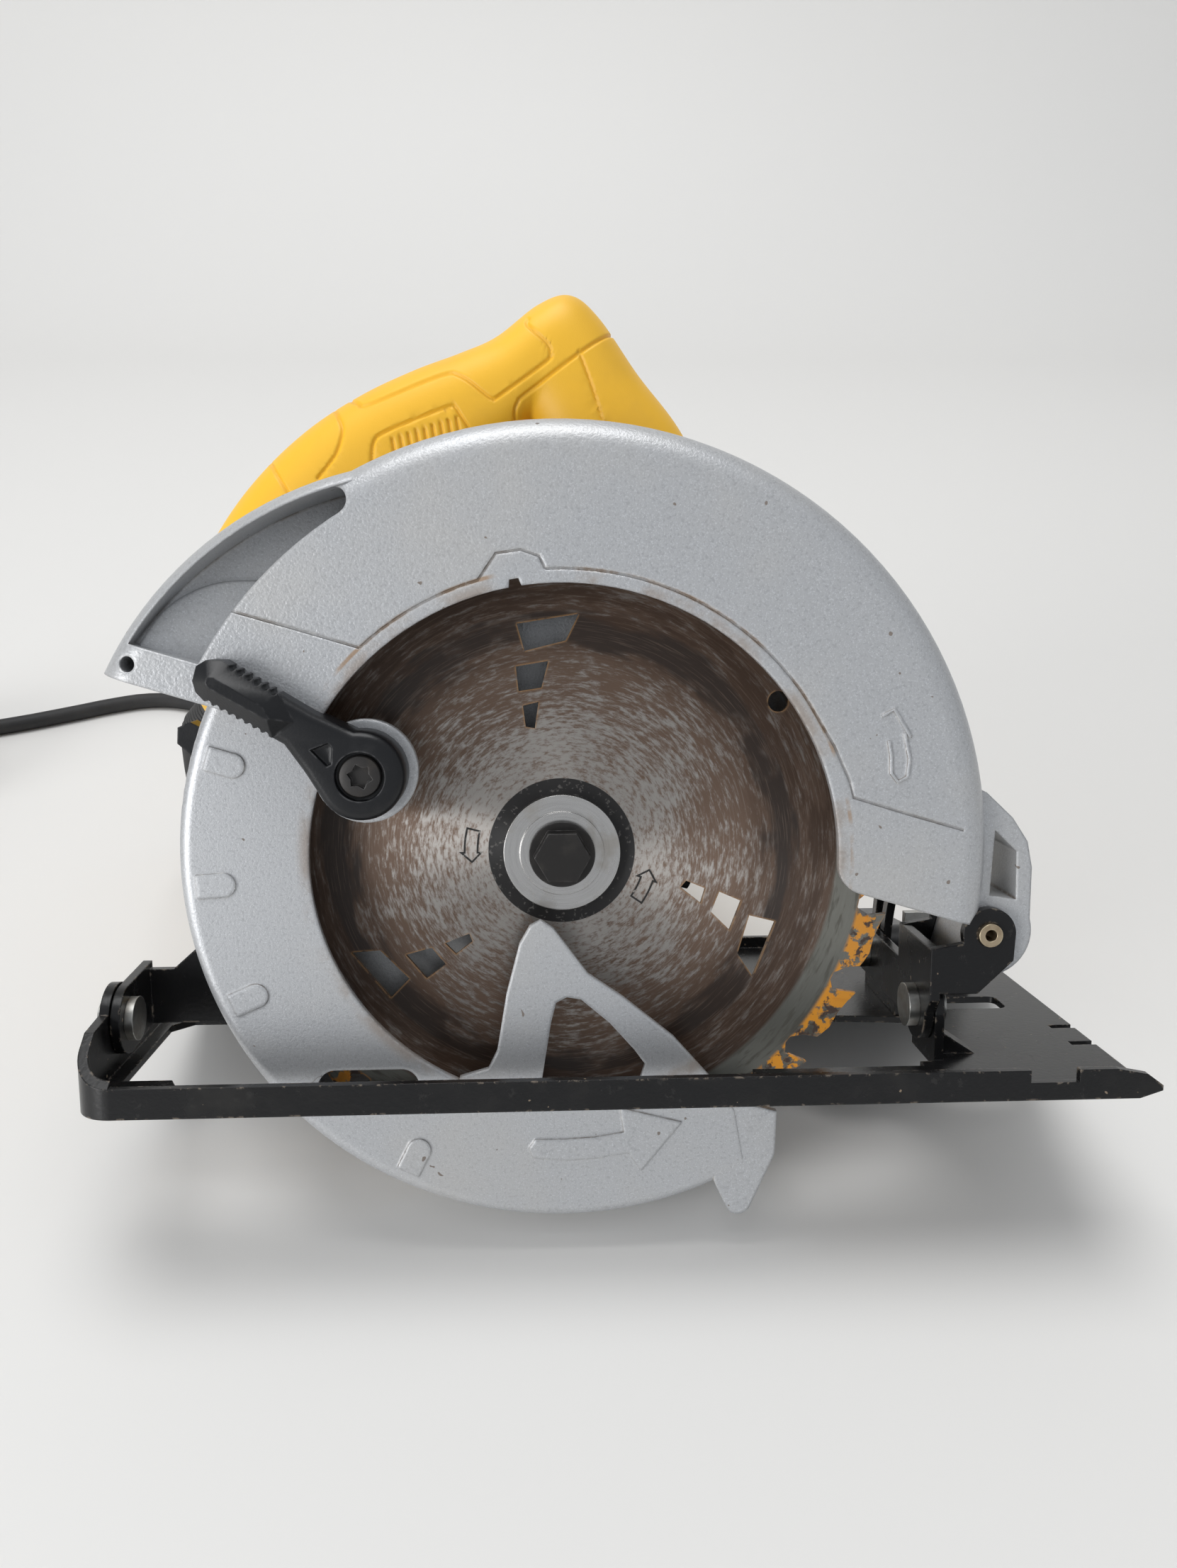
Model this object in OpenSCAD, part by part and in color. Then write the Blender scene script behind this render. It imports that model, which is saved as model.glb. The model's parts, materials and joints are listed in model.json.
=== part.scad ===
// Corded circular saw, blade side towards -Y, cutting direction +X.
// Every piece is drawn around the blade's centre in the shoe's own directions
// (X forward, Y towards the motor, Z up from the shoe) and then set down by rest(),
// which leans the saw back onto its guard rim and the far edge of its shoe.

/* [Blade] */
// Diameter over the blade's teeth
blade_d = 184; // [180:1:186]
// Diameter of the blade's centre hole
blade_bore = 16; // [15.5:0.1:16.5]
// Thickness of the blade's steel plate
blade_t = 1.2; // [1:0.1:1.6]
// Width of the cut that the tooth tips make
kerf = 1.8; // [1.7:0.1:2.4]
// Number of teeth
teeth = 24; // [18:6:40]
// Depth of the gullet in front of each tooth
gullet = 8; // [6:0.5:10]

/* [Upper guard] */
// Outer radius of the upper guard
guard_r = 112.7; // [111:0.1:116]
// Thickness of the guard's cast wall
guard_wall = 2.8; // [2.2:0.1:3]
// Distance from the blade's middle to the guard's outer face
guard_face = 19; // [18.5:0.1:20]
// Distance from the blade's middle to the back of the guard
guard_back = 16; // [15.8:0.1:17]
// Radius of the cut-out that shows the blade
cutout_r = 71.9; // [70.5:0.1:74]
// Rounding of the guard's outer edge
guard_round = 8; // [5:0.5:9]
// Height of the guard's lower edge above the blade's centre
guard_edge = 14; // [12:0.5:15]
// Radius of the guard's tail
tail_r = 97.4; // [96:0.2:99]

/* [Lower guard] */
// Outer radius of the lower guard
low_r = 100; // [98:0.5:101]
// Thickness of the lower guard's wall
low_wall = 2; // [1.5:0.1:2.2]
// Distance from the blade's middle to the lower guard's outer face
low_face = 13.5; // [13:0.1:14]
// Distance from the blade's middle to the lower guard's back face
low_back = 10.5; // [10.2:0.1:10.8]
// Inner radius of the lower guard's front plate
low_window_r = 66.2; // [64:0.2:68]
// Radius at which the lever's boss sits
lever_r = 56; // [54:0.2:57]
// Angle of the lever's boss at rest
lever_angle = 154.2; // [150:0.2:158]

/* [Shoe] */
// Distance from the blade's centre to the front end of the shoe
shoe_front = 152; // [150:1:158]
// Distance from the blade's centre to the rear end of the shoe
shoe_rear = 124; // [123:1:130]
// Distance from the blade's middle to the near edge of the shoe
shoe_near = 34; // [33:0.5:38]
// Distance from the blade's middle to the far edge of the shoe
shoe_far = 108; // [104:1:112]
// Thickness of the shoe's steel
shoe_t = 2; // [1.6:0.1:2.2]
// Height of the shoe's turned-up edge
flange_h = 8; // [6:0.5:9]

/* [Adjustments] */
// Tilt of the saw's body from full depth, as it stands
rest_tilt = 16.6; // [15:0.2:18]
// Height of the depth pivot above the underside of the shoe
pivot_h = 38.4; // [37.5:0.1:39.5]
// Distance forward from the blade's centre to the depth pivot, at full depth
pivot_x = 116.2; // [116:0.1:117]
// Height of the depth pivot above the blade's centre, at full depth
pivot_z = 11.7; // [11.2:0.1:12.2]
// Height of the bevel axis above the underside of the shoe
bevel_h = 15; // [14.5:0.1:15.5]
// Radius of the slot that guides the depth bolt
depth_slot_r = 192; // [191:0.5:193]
// Radius of the slot that guides the bevel bolt
bevel_slot_r = 50; // [48:0.5:52]

/* [Drive] */
// Module of the gear teeth
gear_m = 1; // [0.9:0.05:1]
// Teeth on the spindle gear
gear_n = 44; // [42:1:45]
// Teeth on the motor pinion
pinion_n = 9; // [9:1:10]
// Distance forward from the spindle to the motor's axis, at full depth
motor_x = -8; // [-10:0.5:-4]
// Outer radius of the motor housing
motor_r = 45; // [44:0.5:46]
// Distance from the blade's middle to the end of the motor
motor_end = 152; // [148:1:156]
// Radius of the spindle
spindle_r = 6; // [5.5:0.1:6]

/* [Handle] */
// Distance from the blade's middle to the handle's middle plane
handle_y = 52; // [51:0.5:54]
// Width of the handle
handle_w = 36; // [32:1:36]
// Travel of the trigger
trigger_travel = 5; // [3:0.5:6]

/* [Cord] */
// Diameter of the mains lead
cord_d = 7.4; // [7:0.1:7.8]

/* [Hidden] */

round_fn = 72;
clear = 0.3;
run_gap = 0.05;

blade_r = blade_d / 2;
// Depth pivot and shoe, measured from the blade's centre as the saw stands
piv_x = pivot_x * cos(rest_tilt) + pivot_z * sin(rest_tilt);
piv_z = pivot_z * cos(rest_tilt) - pivot_x * sin(rest_tilt);
shoe_z = piv_z - pivot_h;
shoe_top = shoe_z + shoe_t;
bevel_z = shoe_z + bevel_h;

// The saw leans back until guard rim and shoe edge lie in one plane
lean = atan((low_r + shoe_z) / (shoe_far - low_back));
rest_h = low_back * sin(lean) + low_r * cos(lean);
near_y = -shoe_near * cos(lean) + shoe_z * sin(lean);
motor_dist = gear_m * (gear_n + pinion_n) / 2;
motor_z = sqrt(motor_dist * motor_dist - motor_x * motor_x);
motor_top = motor_z * cos(rest_tilt) - motor_x * sin(rest_tilt) + motor_r;
far_y = motor_end * cos(lean) + (motor_top - 9) * sin(lean);
centre_x = (shoe_front - shoe_rear) / 2 - 0.1;
centre_y = (near_y + far_y) / 2;

cast = [0.72, 0.73, 0.74];
black_steel = [0.09, 0.09, 0.1];
yellow = [0.96, 0.72, 0.12];
black_plastic = [0.08, 0.08, 0.09];
bright = [0.75, 0.75, 0.76];
dark_bright = [0.45, 0.45, 0.47];
copper = [0.72, 0.42, 0.22];
rubber = [0.05, 0.05, 0.05];

// ---------- placing ----------

// Set the saw down on the floor
module rest() {
  translate([-centre_x, -centre_y, rest_h]) rotate([-lean, 0, 0]) children();
}

// Tilt from full depth to the depth at which the saw stands
module tilted() {
  rotate([0, rest_tilt, 0]) children();
}

// An outline in X and Z, made thick from y0 to y1
module slab_y(y0, y1) {
  translate([0, y1, 0]) rotate([90, 0, 0]) linear_extrude(y1 - y0) children();
}

// An outline in Y and Z, made thick from x0 to x1
module slab_x(x0, x1) {
  translate([x0, 0, 0]) rotate([90, 0, 90]) linear_extrude(x1 - x0) children();
}

// A round bar along Y
module bar_y(r, y0, y1) {
  translate([0, y0, 0]) rotate([-90, 0, 0]) cylinder(r = r, h = y1 - y0, $fn = round_fn);
}

// A round bar along X
module bar_x(r, x0, x1) {
  translate([x0, 0, 0]) rotate([0, 90, 0]) cylinder(r = r, h = x1 - x0, $fn = round_fn);
}

// A ring along Y
module ring_y(r_out, r_in, y0, y1) {
  difference() {
    bar_y(r_out, y0, y1);
    bar_y(r_in, y0 - 1, y1 + 1);
  }
}

// A section in radius and Y, turned about the Y axis from angle a0 to a1
module turned(a0 = 0, a1 = 360) {
  rotate([90, -a0, 0]) rotate_extrude(angle = a1 - a0, $fn = 96) mirror([0, 1]) children();
}

// A screw along Y with a pan head at y0 and its shank towards y1
module screw_y(r_head, head_h, r, y0, y1) {
  bar_y(r_head, y0, y0 + head_h);
  bar_y(r, y0 + head_h - 0.01, y1);
}

// One side of a line of points, half a width away
function beside(p, i, half) = let (
  d = p[min(i + 1, len(p) - 1)] - p[max(i - 1, 0)]
) p[i] + half * [-d.y, d.x] / norm(d);

// A line of points drawn with a width
module stroke(p, w) {
  polygon(concat(
    [for (i = [0:len(p) - 1]) beside(p, i, w / 2)],
    [for (i = [len(p) - 1:-1:0]) beside(p, i, -w / 2)]
  ));
}

// ---------- blade ----------

tooth_pitch = 360 / teeth;

function polar(r, a) = [r * cos(a), r * sin(a)];

// One tooth: its face leads towards the larger angle
function tooth(a, r, g, p) = [
  polar(r - 1.6, a - 0.62 * p), polar(r - 0.9, a - 0.5 * p), polar(r - 1.3, a - 0.3 * p),
  polar(r, a), polar(r - 0.75 * g, a - 0.09 * p), polar(r - g, a + 0.02 * p),
  polar(r - g, a + 0.12 * p), polar(r - 0.7 * g, a + 0.24 * p), polar(r - 0.25 * g, a + 0.32 * p)
];

module blade_outline() {
  polygon([for (i = [teeth - 1:-1:0]) for (q = tooth(-12 - i * tooth_pitch, blade_r - 0.2, gullet, tooth_pitch)) q]);
}

// Three groups of slots in the blade, each of a large, a middle and a small one
module blade_slots() {
  for (a = [0, 120, 240]) rotate(a) {
    polygon([[-11.5, 61.5], [5, 64], [1.5, 57], [-9.5, 54.3]]);
    polygon([[-11.9, 50.2], [-3.2, 51.6], [-5.1, 44.5], [-11.2, 43.6]]);
    polygon([[-10.1, 39.7], [-5.9, 40.7], [-7, 33.6], [-9.4, 34]]);
  }
}

// The hard tip brazed on a tooth's face, wider than the plate and just ahead of it
module tooth_tip(a, r, p) {
  polygon([
    polar(r, a + 0.12), polar(r - 0.7, a - 0.1 * p), polar(r - 5, a - 0.17 * p), polar(r - 5, a - 0.07 * p + 0.12)
  ]);
}

module blade() color(dark_bright) rest() difference() {
  union() {
    slab_y(-blade_t / 2, blade_t / 2) blade_outline();
    slab_y(-kerf / 2, kerf / 2) for (i = [0:teeth - 1]) tooth_tip(-12 - i * tooth_pitch, blade_r, tooth_pitch);
  }
  slab_y(-1, 1) {
    circle(d = blade_bore, $fn = round_fn);
    blade_slots();
    translate([58.9, 40.3]) circle(r = 2.8, $fn = 24);
  }
}

// ---------- spindle and what it clamps ----------

washer_r = 15.8;
washer_in = 5;
washer_out = 3;
bolt_flange_r = 8.9;
bolt_af = 13;
bolt_r = 3.9;
boss_front = 7.5;
bearing_r = 16;

module spindle() color(bright) rest() difference() {
  union() {
    bar_y(spindle_r, -blade_t / 2 + 0.2, 35.5);
    bar_y(spindle_r + 3.5, blade_t / 2 + washer_in, boss_front);
  }
  bar_y(bolt_r + 0.1, -2, 14);
}

module inner_washer() color(bright) rest() difference() {
  union() {
    bar_y(washer_r, blade_t / 2, blade_t / 2 + washer_in);
    bar_y(blade_bore / 2 - run_gap, -blade_t / 2 + 0.1, blade_t / 2 + 1);
  }
  bar_y(spindle_r + run_gap, -3, 9);
}

module outer_washer() color(bright) rest() difference() {
  union() {
    bar_y(washer_r, -blade_t / 2 - washer_out, -blade_t / 2);
    bar_y(11.4, -blade_t / 2 - washer_out - 1, -blade_t / 2 - 1);
  }
  bar_y(bolt_r + 0.2, -9, 3);
}

bolt_seat = -blade_t / 2 - washer_out - 1;

module blade_bolt() color(dark_bright) rest() {
  bar_y(bolt_flange_r, bolt_seat - 1.6, bolt_seat);
  translate([0, bolt_seat - 6.4, 0]) rotate([-90, 0, 0]) cylinder(d = bolt_af / cos(30), h = 5, $fn = 6);
  bar_y(bolt_r, bolt_seat - 0.5, 12);
}

module spindle_bearing() color(bright) rest() ring_y(bearing_r - run_gap, spindle_r + run_gap, boss_front + 0.5, 17.5);

module spindle_bush() color(copper) rest() ring_y(9, spindle_r + run_gap, 30, 36);

// ---------- gears ----------

// A spur gear's outline with slim teeth that never bind
module gear_outline(n, m) {
  p = 360 / n;
  r = n * m / 2;
  polygon([for (i = [0:n - 1]) for (q = [
    polar(r - 1.25 * m, (i - 0.27) * p), polar(r, (i - 0.18) * p), polar(r + 0.75 * m, (i - 0.08) * p),
    polar(r + 0.75 * m, (i + 0.08) * p), polar(r, (i + 0.18) * p), polar(r - 1.25 * m, (i + 0.27) * p)
  ]) q]);
}

mesh_angle = atan2(motor_z, motor_x);
gear_y0 = 19;
gear_y1 = 27;

module spindle_gear() color(dark_bright) rest() tilted() slab_y(gear_y0, gear_y1) difference() {
  rotate(mesh_angle + 180 / gear_n) gear_outline(gear_n, gear_m);
  circle(r = spindle_r + run_gap, $fn = round_fn);
  for (a = [30:60:330]) rotate(a) translate([13.5, 0]) circle(r = 3.6, $fn = 24);
}

// ---------- motor ----------

module at_motor() {
  tilted() translate([motor_x, 0, motor_z]) children();
}

case_end = 36;
shell_end = motor_end - 14;
shaft_r = 4;
core_r = 26;
stator_y0 = 62;
stator_y1 = 104;

module armature_shaft() color(bright) rest() at_motor() {
  bar_y(shaft_r, gear_y1 + 1, motor_end - 7);
  bar_y(pinion_n * gear_m / 2 - 1.3 * gear_m, gear_y0 - 1, gear_y1 + 1);
  slab_y(gear_y0 - 1, gear_y1 + 1) rotate(mesh_angle + 180) gear_outline(pinion_n, gear_m);
}

module armature_core() color(copper) rest() at_motor() {
  ring_y(core_r, shaft_r + run_gap, stator_y0, stator_y1);
  ring_y(core_r - 6, shaft_r + run_gap, stator_y0 - 6, stator_y0);
  ring_y(core_r - 6, shaft_r + run_gap, stator_y1, stator_y1 + 5);
}

module commutator() color(copper) rest() at_motor() ring_y(13, shaft_r + run_gap, stator_y1 + 6, stator_y1 + 22);

module fan() color(black_plastic) rest() at_motor() {
  ring_y(11, shaft_r + run_gap, 41, 53);
  ring_y(37, 10, 51, 53);
  for (a = [0:30:330]) rotate([0, a, 0]) translate([10, 41, -0.8]) cube([26, 10.5, 1.6]);
}

module motor_bearings() color(bright) rest() at_motor() {
  ring_y(11 - run_gap, shaft_r + run_gap, 29.5, 36);
  ring_y(11 - run_gap, shaft_r + run_gap, shell_end + 2, shell_end + 9);
}

module field_stator() color([0.35, 0.35, 0.37]) rest() at_motor() difference() {
  union() {
    ring_y(motor_r - 3.5 - run_gap, core_r + 1, stator_y0, stator_y1);
    ring_y(motor_r - 8, core_r + 6, stator_y0 - 7, stator_y1 + 7);
  }
  for (s = [-1, 1]) translate([s * (motor_r - 4), 50, 0]) cube([6, 120, 30], center = true);
}

// Section of the motor's tube in radius and Y
module tube_section() {
  polygon([
    [motor_r - 3.5, case_end], [motor_r, case_end], [motor_r, case_end + 22],
    [motor_r - 2, shell_end - 6], [motor_r - 2, shell_end], [motor_r - 3.5, shell_end]
  ]);
}

motor_screw_angles = [30, 150, 235, 305];
motor_screw_r = motor_r + 3.6;

module at_motor_screws() {
  at_motor() for (a = motor_screw_angles) rotate([0, -a, 0]) translate([motor_screw_r, 0, 0]) children();
}

module motor_housing() color(yellow) rest() difference() {
  union() {
    at_motor() turned() tube_section();
    difference() {
      union() {
        at_motor_screws() bar_y(5, case_end + 0.1, case_end + 14);
        at_motor() for (s = [-1, 1]) translate([s * (motor_r - 5), brush_y, 0]) rotate([0, s * 90, 0])
          cylinder(r = 11, h = 7, $fn = round_fn);
      }
      at_motor() bar_y(motor_r - 2.5, case_end - 1, shell_end + 1);
    }
  }
  at_motor_screws() bar_y(1.95, case_end - 1, case_end + 15);
  at_motor() for (side = [90, 192, 270, 350], a = [-24:12:24]) rotate([0, -side - a, 0]) translate([motor_r, 45, 0])
    cube([12, 12, 3.4], center = true);
  at_motor() for (s = [-1, 1]) translate([0, brush_y, 0]) rotate([0, s * 90, 0]) cylinder(r = 7, h = motor_r + 9, $fn = round_fn);
}

brush_y = stator_y1 + 14;
brush_end = 29.2;

module carbon_brushes() color([0.2, 0.2, 0.2]) rest() at_motor() for (s = [-1, 1])
  translate([s * (brush_end - 8), brush_y, 0]) cube([16, 8, 6], center = true);

module brush_caps() color(black_plastic) rest() at_motor() for (s = [-1, 1])
  translate([0, brush_y, 0]) rotate([0, s * 90, 0]) translate([0, 0, brush_end]) difference() {
    cylinder(r = 7 - run_gap, h = motor_r + 1 - brush_end, $fn = round_fn);
    translate([0, 0, motor_r + 1 - brush_end]) cube([9, 1.4, 3], center = true);
  }

module end_cap() color(black_plastic) rest() at_motor() difference() {
  turned() polygon([
    [0, motor_end], [motor_r - 9, motor_end], [motor_r - 4, motor_end - 3], [motor_r - 2, motor_end - 8],
    [motor_r - 2, shell_end], [motor_r - 5, shell_end], [motor_r - 6, motor_end - 6], [14, motor_end - 4],
    [14, shell_end + 2], [11, shell_end + 2], [11, motor_end - 5], [0, motor_end - 5]
  ]);
  for (a = [0:30:330]) rotate([0, a, 0]) translate([26, motor_end - 4, 0]) cube([17, 12, 3.2], center = true);
}

module motor_screws() color(bright) rest() at_motor_screws() screw_y_back(3.4, 2.4, 1.9, case_end - 6, case_end + 16.4);

// A screw along Y whose head is at y1
module screw_y_back(r_head, head_h, r, y0, y1) {
  bar_y(r_head, y1 - head_h, y1);
  bar_y(r, y0, y1 - head_h + 0.01);
}

// ---------- gear case ----------

case_r = 26.4;
lock_angle = mesh_angle - floor(mesh_angle * gear_n / 360) * 360 / gear_n;
lock_y = (gear_y0 + gear_y1) / 2;

// Where screws hold the gear case to the guard: beside the spindle and on the motor's side
hub_screw_angles = [203, -23];
hub_screw_r = 30.5;

module case_screw_places() {
  tilted() for (a = hub_screw_angles) rotate([0, -a, 0]) translate([hub_screw_r, 0, 0]) children();
  at_motor() for (a = [75, 150]) rotate([0, -a, 0]) translate([motor_r - 9, 0, 0]) children();
}

module gear_case() color(cast) rest() difference() {
  union() {
    tilted() slab_y(guard_back, 33) {
      circle(r = case_r, $fn = round_fn);
      translate([motor_x, motor_z]) circle(r = motor_r - 4, $fn = round_fn);
    }
    tilted() slab_y(guard_back + 9, case_end) translate([motor_x, motor_z]) {
      circle(r = motor_r, $fn = round_fn);
      for (a = motor_screw_angles) translate(polar(motor_screw_r, a)) circle(r = 5, $fn = 32);
    }
    bar_y(13, 30, case_end + 3.5);
    case_screw_places() bar_y(4.6, guard_back + 0.05, guard_back + 11);
    tilted() rotate([0, -lock_angle, 0]) translate([0, lock_y, 0]) bar_x(5.6, 20, 33);
  }
  bar_y(case_r - 2.4, guard_back - 1, 30);
  at_motor() bar_y(pinion_n * gear_m / 2 + 3, guard_back - 1, 29.6);
  at_motor() bar_y(11, 29, case_end + 1);
  bar_y(9 + run_gap, 25, case_end);
  difference() {
    at_motor() ring_y(motor_r - 7, 14, guard_back + 4, case_end + 1);
    bar_y(case_r + 0.8, guard_back, case_end + 2);
    case_screw_places() bar_y(5, guard_back, guard_back + 11.3);
  }
  at_motor_screws() bar_y(1.95, case_end - 7, case_end + 1);
  case_screw_places() bar_y(1.95, guard_back - 1, guard_back + 9);
  tilted() rotate([0, -lock_angle, 0]) translate([0, lock_y, 0]) {
    bar_x(3 + clear, 19, 34);
    bar_x(6 + clear, 33.5, 60);
  }
}

module case_screws() color(bright) rest() case_screw_places() screw_y(3.4, 1.8, 1.9, guard_back - 2.5 - 1.8, guard_back + 8);

module spindle_lock() color(black_plastic) rest() tilted() rotate([0, -lock_angle, 0]) translate([0, lock_y, 0]) {
  bar_x(3, 25.8, 38);
  bar_x(6, 36.6, 40);
  translate([24.2, -2, -0.35]) cube([2, 4, 0.7]);
}

// ---------- shoe and bevel ----------

// A rectangle with round corners
module round_rect(x0, x1, y0, y1, r) {
  translate([x0 + r, y0]) square([x1 - x0 - 2 * r, y1 - y0]);
  translate([x0, y0 + r]) square([x1 - x0, y1 - y0 - 2 * r]);
  for (x = [x0 + r, x1 - r], y = [y0 + r, y1 - r]) translate([x, y]) circle(r = r, $fn = round_fn);
}

ear_x = 102;
rivet_r = 3;
edge_wall = 2.2;

module shoe_opening() {
  polygon([
    [-117.5, -12.9], [-104.5, -12.9], [-101.5, -19], [51, -19], [51, -13.5], [98, -13.5], [98, -10.2],
    [ear_x, -10.2], [ear_x, 10.2], [107, 10.2], [110, 12], [110, 23], [104, 27], [84, 29], [72, 37],
    [-112, 37], [-117.5, 31]
  ]);
}

module shoe_plate() color(black_steel) rest() translate([0, 0, shoe_z]) {
  linear_extrude(shoe_t) difference() {
    union() {
      round_rect(-shoe_rear, shoe_front, -shoe_near, shoe_far, 10);
      translate([shoe_front - 30, -shoe_near]) square([26, 20]);
    }
    shoe_opening();
    round_rect(117.5, 139, 33, 44.5, 2.5);
    for (y = [0, 14]) translate([shoe_front - 7, y]) square([8, 2.8]);
    translate([125.6, 66]) circle(r = 2.6, $fn = 24);
  }
  // near edge, turned up
  slab_y(-shoe_near, -shoe_near + edge_wall) difference() {
    polygon([
      [-shoe_rear + 10, 0], [-shoe_rear + 10, flange_h], [shoe_front - 10, flange_h], [shoe_front - 2, flange_h - 1.6],
      [shoe_front + 2, flange_h - 4.6], [shoe_front + 2, shoe_t], [shoe_front - 4, 0]
    ]);
    translate([119.3, flange_h - 3.3]) square([12.7, 4]);
  }
  // rounded near corner and rear wall with the ear of the bevel rivet
  intersection() {
    linear_extrude(30) difference() {
      round_rect(-shoe_rear, 0, -shoe_near, shoe_far, 10);
      round_rect(-shoe_rear + edge_wall + 0.3, 10, -shoe_near + edge_wall, shoe_far - edge_wall, 7.8);
    }
    slab_x(-shoe_rear - 1, -shoe_rear + 10) difference() {
      union() {
        polygon([
          [-shoe_near - 1, 0], [shoe_far + 1, 0], [shoe_far + 1, 6], [34, 6], [20, 22], [9, bevel_h + 4],
          [-9, bevel_h + 4], [-20, 18], [-shoe_near, flange_h], [-shoe_near - 1, flange_h]
        ]);
        translate([0, bevel_h]) circle(r = 10, $fn = round_fn);
      }
      translate([0, bevel_h]) circle(r = rivet_r + run_gap, $fn = round_fn);
    }
  }
  // far edge
  translate([-shoe_rear + 9, shoe_far - edge_wall, 0]) cube([shoe_front + shoe_rear - 19, edge_wall, 6]);
  // front ear of the bevel rivet and its pressed foot
  slab_x(ear_x, ear_x + 2.5) difference() {
    union() {
      translate([-9.8, 0]) square([19.6, bevel_h]);
      translate([0, bevel_h]) circle(r = 9.8, $fn = round_fn);
    }
    translate([0, bevel_h]) circle(r = rivet_r + run_gap, $fn = round_fn);
  }
  slab_y(-5, 5) polygon([[ear_x + 1, shoe_t - 1], [ear_x + 14, shoe_t - 1], [ear_x + 13, shoe_t], [ear_x + 2.5, 9], [ear_x + 1, 9]]);
}

bevel_bolt_y = 50;
bevel_bolt_z = bevel_z + 1.8;

// A curved slot about the origin, from angle a0 to a1
module arc_slot(r, half, a0, a1) {
  intersection() {
    difference() {
      circle(r = r + half, $fn = 180);
      circle(r = r - half, $fn = 180);
    }
    polygon([[0, 0], polar(2 * r, a0), polar(2 * r, (a0 + a1) / 2), polar(2 * r, a1)]);
  }
  for (a = [a0, a1]) translate(polar(r, a)) circle(r = half - 0.03, $fn = 32);
}

module bevel_quadrant() color(black_steel) rest() slab_x(ear_x, ear_x + 2.5) difference() {
  union() {
    translate([0, bevel_z]) arc_slot(bevel_slot_r, 7, 0, 52);
    translate([28, shoe_top]) square([34, 8]);
    translate([43, shoe_top]) square([14, bevel_h]);
  }
  translate([0, bevel_z]) arc_slot(bevel_slot_r, 3.2, -1, 53);
}

module fence_clamp() color(black_steel) rest() difference() {
  slab_y(60, 72) polygon([
    [112, shoe_top], [117, shoe_top], [117, shoe_top + 4.5], [134, shoe_top + 4.5], [134, shoe_top], [139, shoe_top],
    [139, shoe_top + 2], [136.5, shoe_top + 2], [136.5, shoe_top + 7], [114.5, shoe_top + 7], [114.5, shoe_top + 2], [112, shoe_top + 2]
  ]);
  translate([125.6, 66, shoe_top]) cylinder(r = 3 + run_gap, h = 9, $fn = round_fn);
}

module fence_screw() color(bright) rest() translate([125.6, 66, shoe_top]) {
  translate([0, 0, 1.5]) cylinder(r = 3, h = 17, $fn = round_fn);
  translate([0, 0, 8.5]) cylinder(r = 7, h = 2, $fn = round_fn);
  translate([-10, -1.5, 14]) cube([20, 3, 9]);
}

// ---------- bracket that tilts for bevel cuts ----------

yoke_near = -13.5;
yoke_far = 16;
yoke_t = 2.5;
yoke_x = ear_x - clear - yoke_t - 0.2;

module yoke_arm() {
  difference() {
    union() {
      polygon([
        [yoke_x, piv_z - 4], [piv_x - 7, piv_z - 2.5], [piv_x - 5, piv_z + 5], [piv_x, piv_z], [piv_x + 7.2, piv_z],
        [piv_x + 6.8, piv_z - 7.3], [piv_x - 2.7, piv_z - 16.4], [yoke_x, piv_z - 16.4]
      ]);
      translate([piv_x, piv_z]) circle(r = 7.2, $fn = round_fn);
    }
    translate([piv_x, piv_z]) circle(r = 3.2 + run_gap, $fn = round_fn);
  }
}

module front_yoke() color(black_steel) rest() {
  slab_y(yoke_near, yoke_near + yoke_t) yoke_arm();
  slab_y(yoke_far - yoke_t, yoke_far) yoke_arm();
  slab_x(yoke_x, yoke_x + yoke_t + 0.2) difference() {
    union() {
      translate([0, bevel_z]) circle(r = 9.5, $fn = round_fn);
      polygon([
        [yoke_near, piv_z - 4], [yoke_far, piv_z - 4], [yoke_far, bevel_z + 9.4], [bevel_bolt_y + 8, bevel_z + 9.4],
        [bevel_bolt_y + 8, bevel_z - 6], [9.5, bevel_z - 6], [9.5, bevel_z], [-9.5, bevel_z], [yoke_near, bevel_z + 5]
      ]);
    }
    translate([0, bevel_z]) circle(r = rivet_r + run_gap, $fn = round_fn);
    translate([bevel_bolt_y, bevel_bolt_z]) circle(r = 2.9 + run_gap, $fn = round_fn);
  }
}

rear_plate_x = -shoe_rear + edge_wall + 0.3 + clear;
arm_y0 = 18;
arm_y1 = 20.5;

module rear_bracket() color(black_steel) rest() difference() {
  union() {
    slab_x(rear_plate_x, rear_plate_x + 2.5) {
      translate([0, bevel_z]) circle(r = 9.5, $fn = round_fn);
      polygon([[0, bevel_z - 9.5], [arm_y1, bevel_z - 7.6], [arm_y1, bevel_z + 10.4], [0, bevel_z + 9.5]]);
    }
    slab_y(arm_y0, arm_y1) {
      polygon([
        [rear_plate_x, bevel_z - 7.6], [-64, bevel_z - 7.6], [-64, bevel_z + 10.4], [-80, bevel_z + 10.4], [-86, -14],
        [-112, bevel_z + 8.4], [rear_plate_x, bevel_z + 8.4]
      ]);
      translate([piv_x, piv_z]) arc_slot(depth_slot_r, 11, 154, 189);
    }
  }
  slab_y(arm_y0 - 1, arm_y1 + 1) translate([piv_x, piv_z]) arc_slot(depth_slot_r, 3.7, 153, 187);
  translate([0, 0, bevel_z]) bar_x(rivet_r + run_gap, rear_plate_x - 1, rear_plate_x + 4);
}

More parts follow.
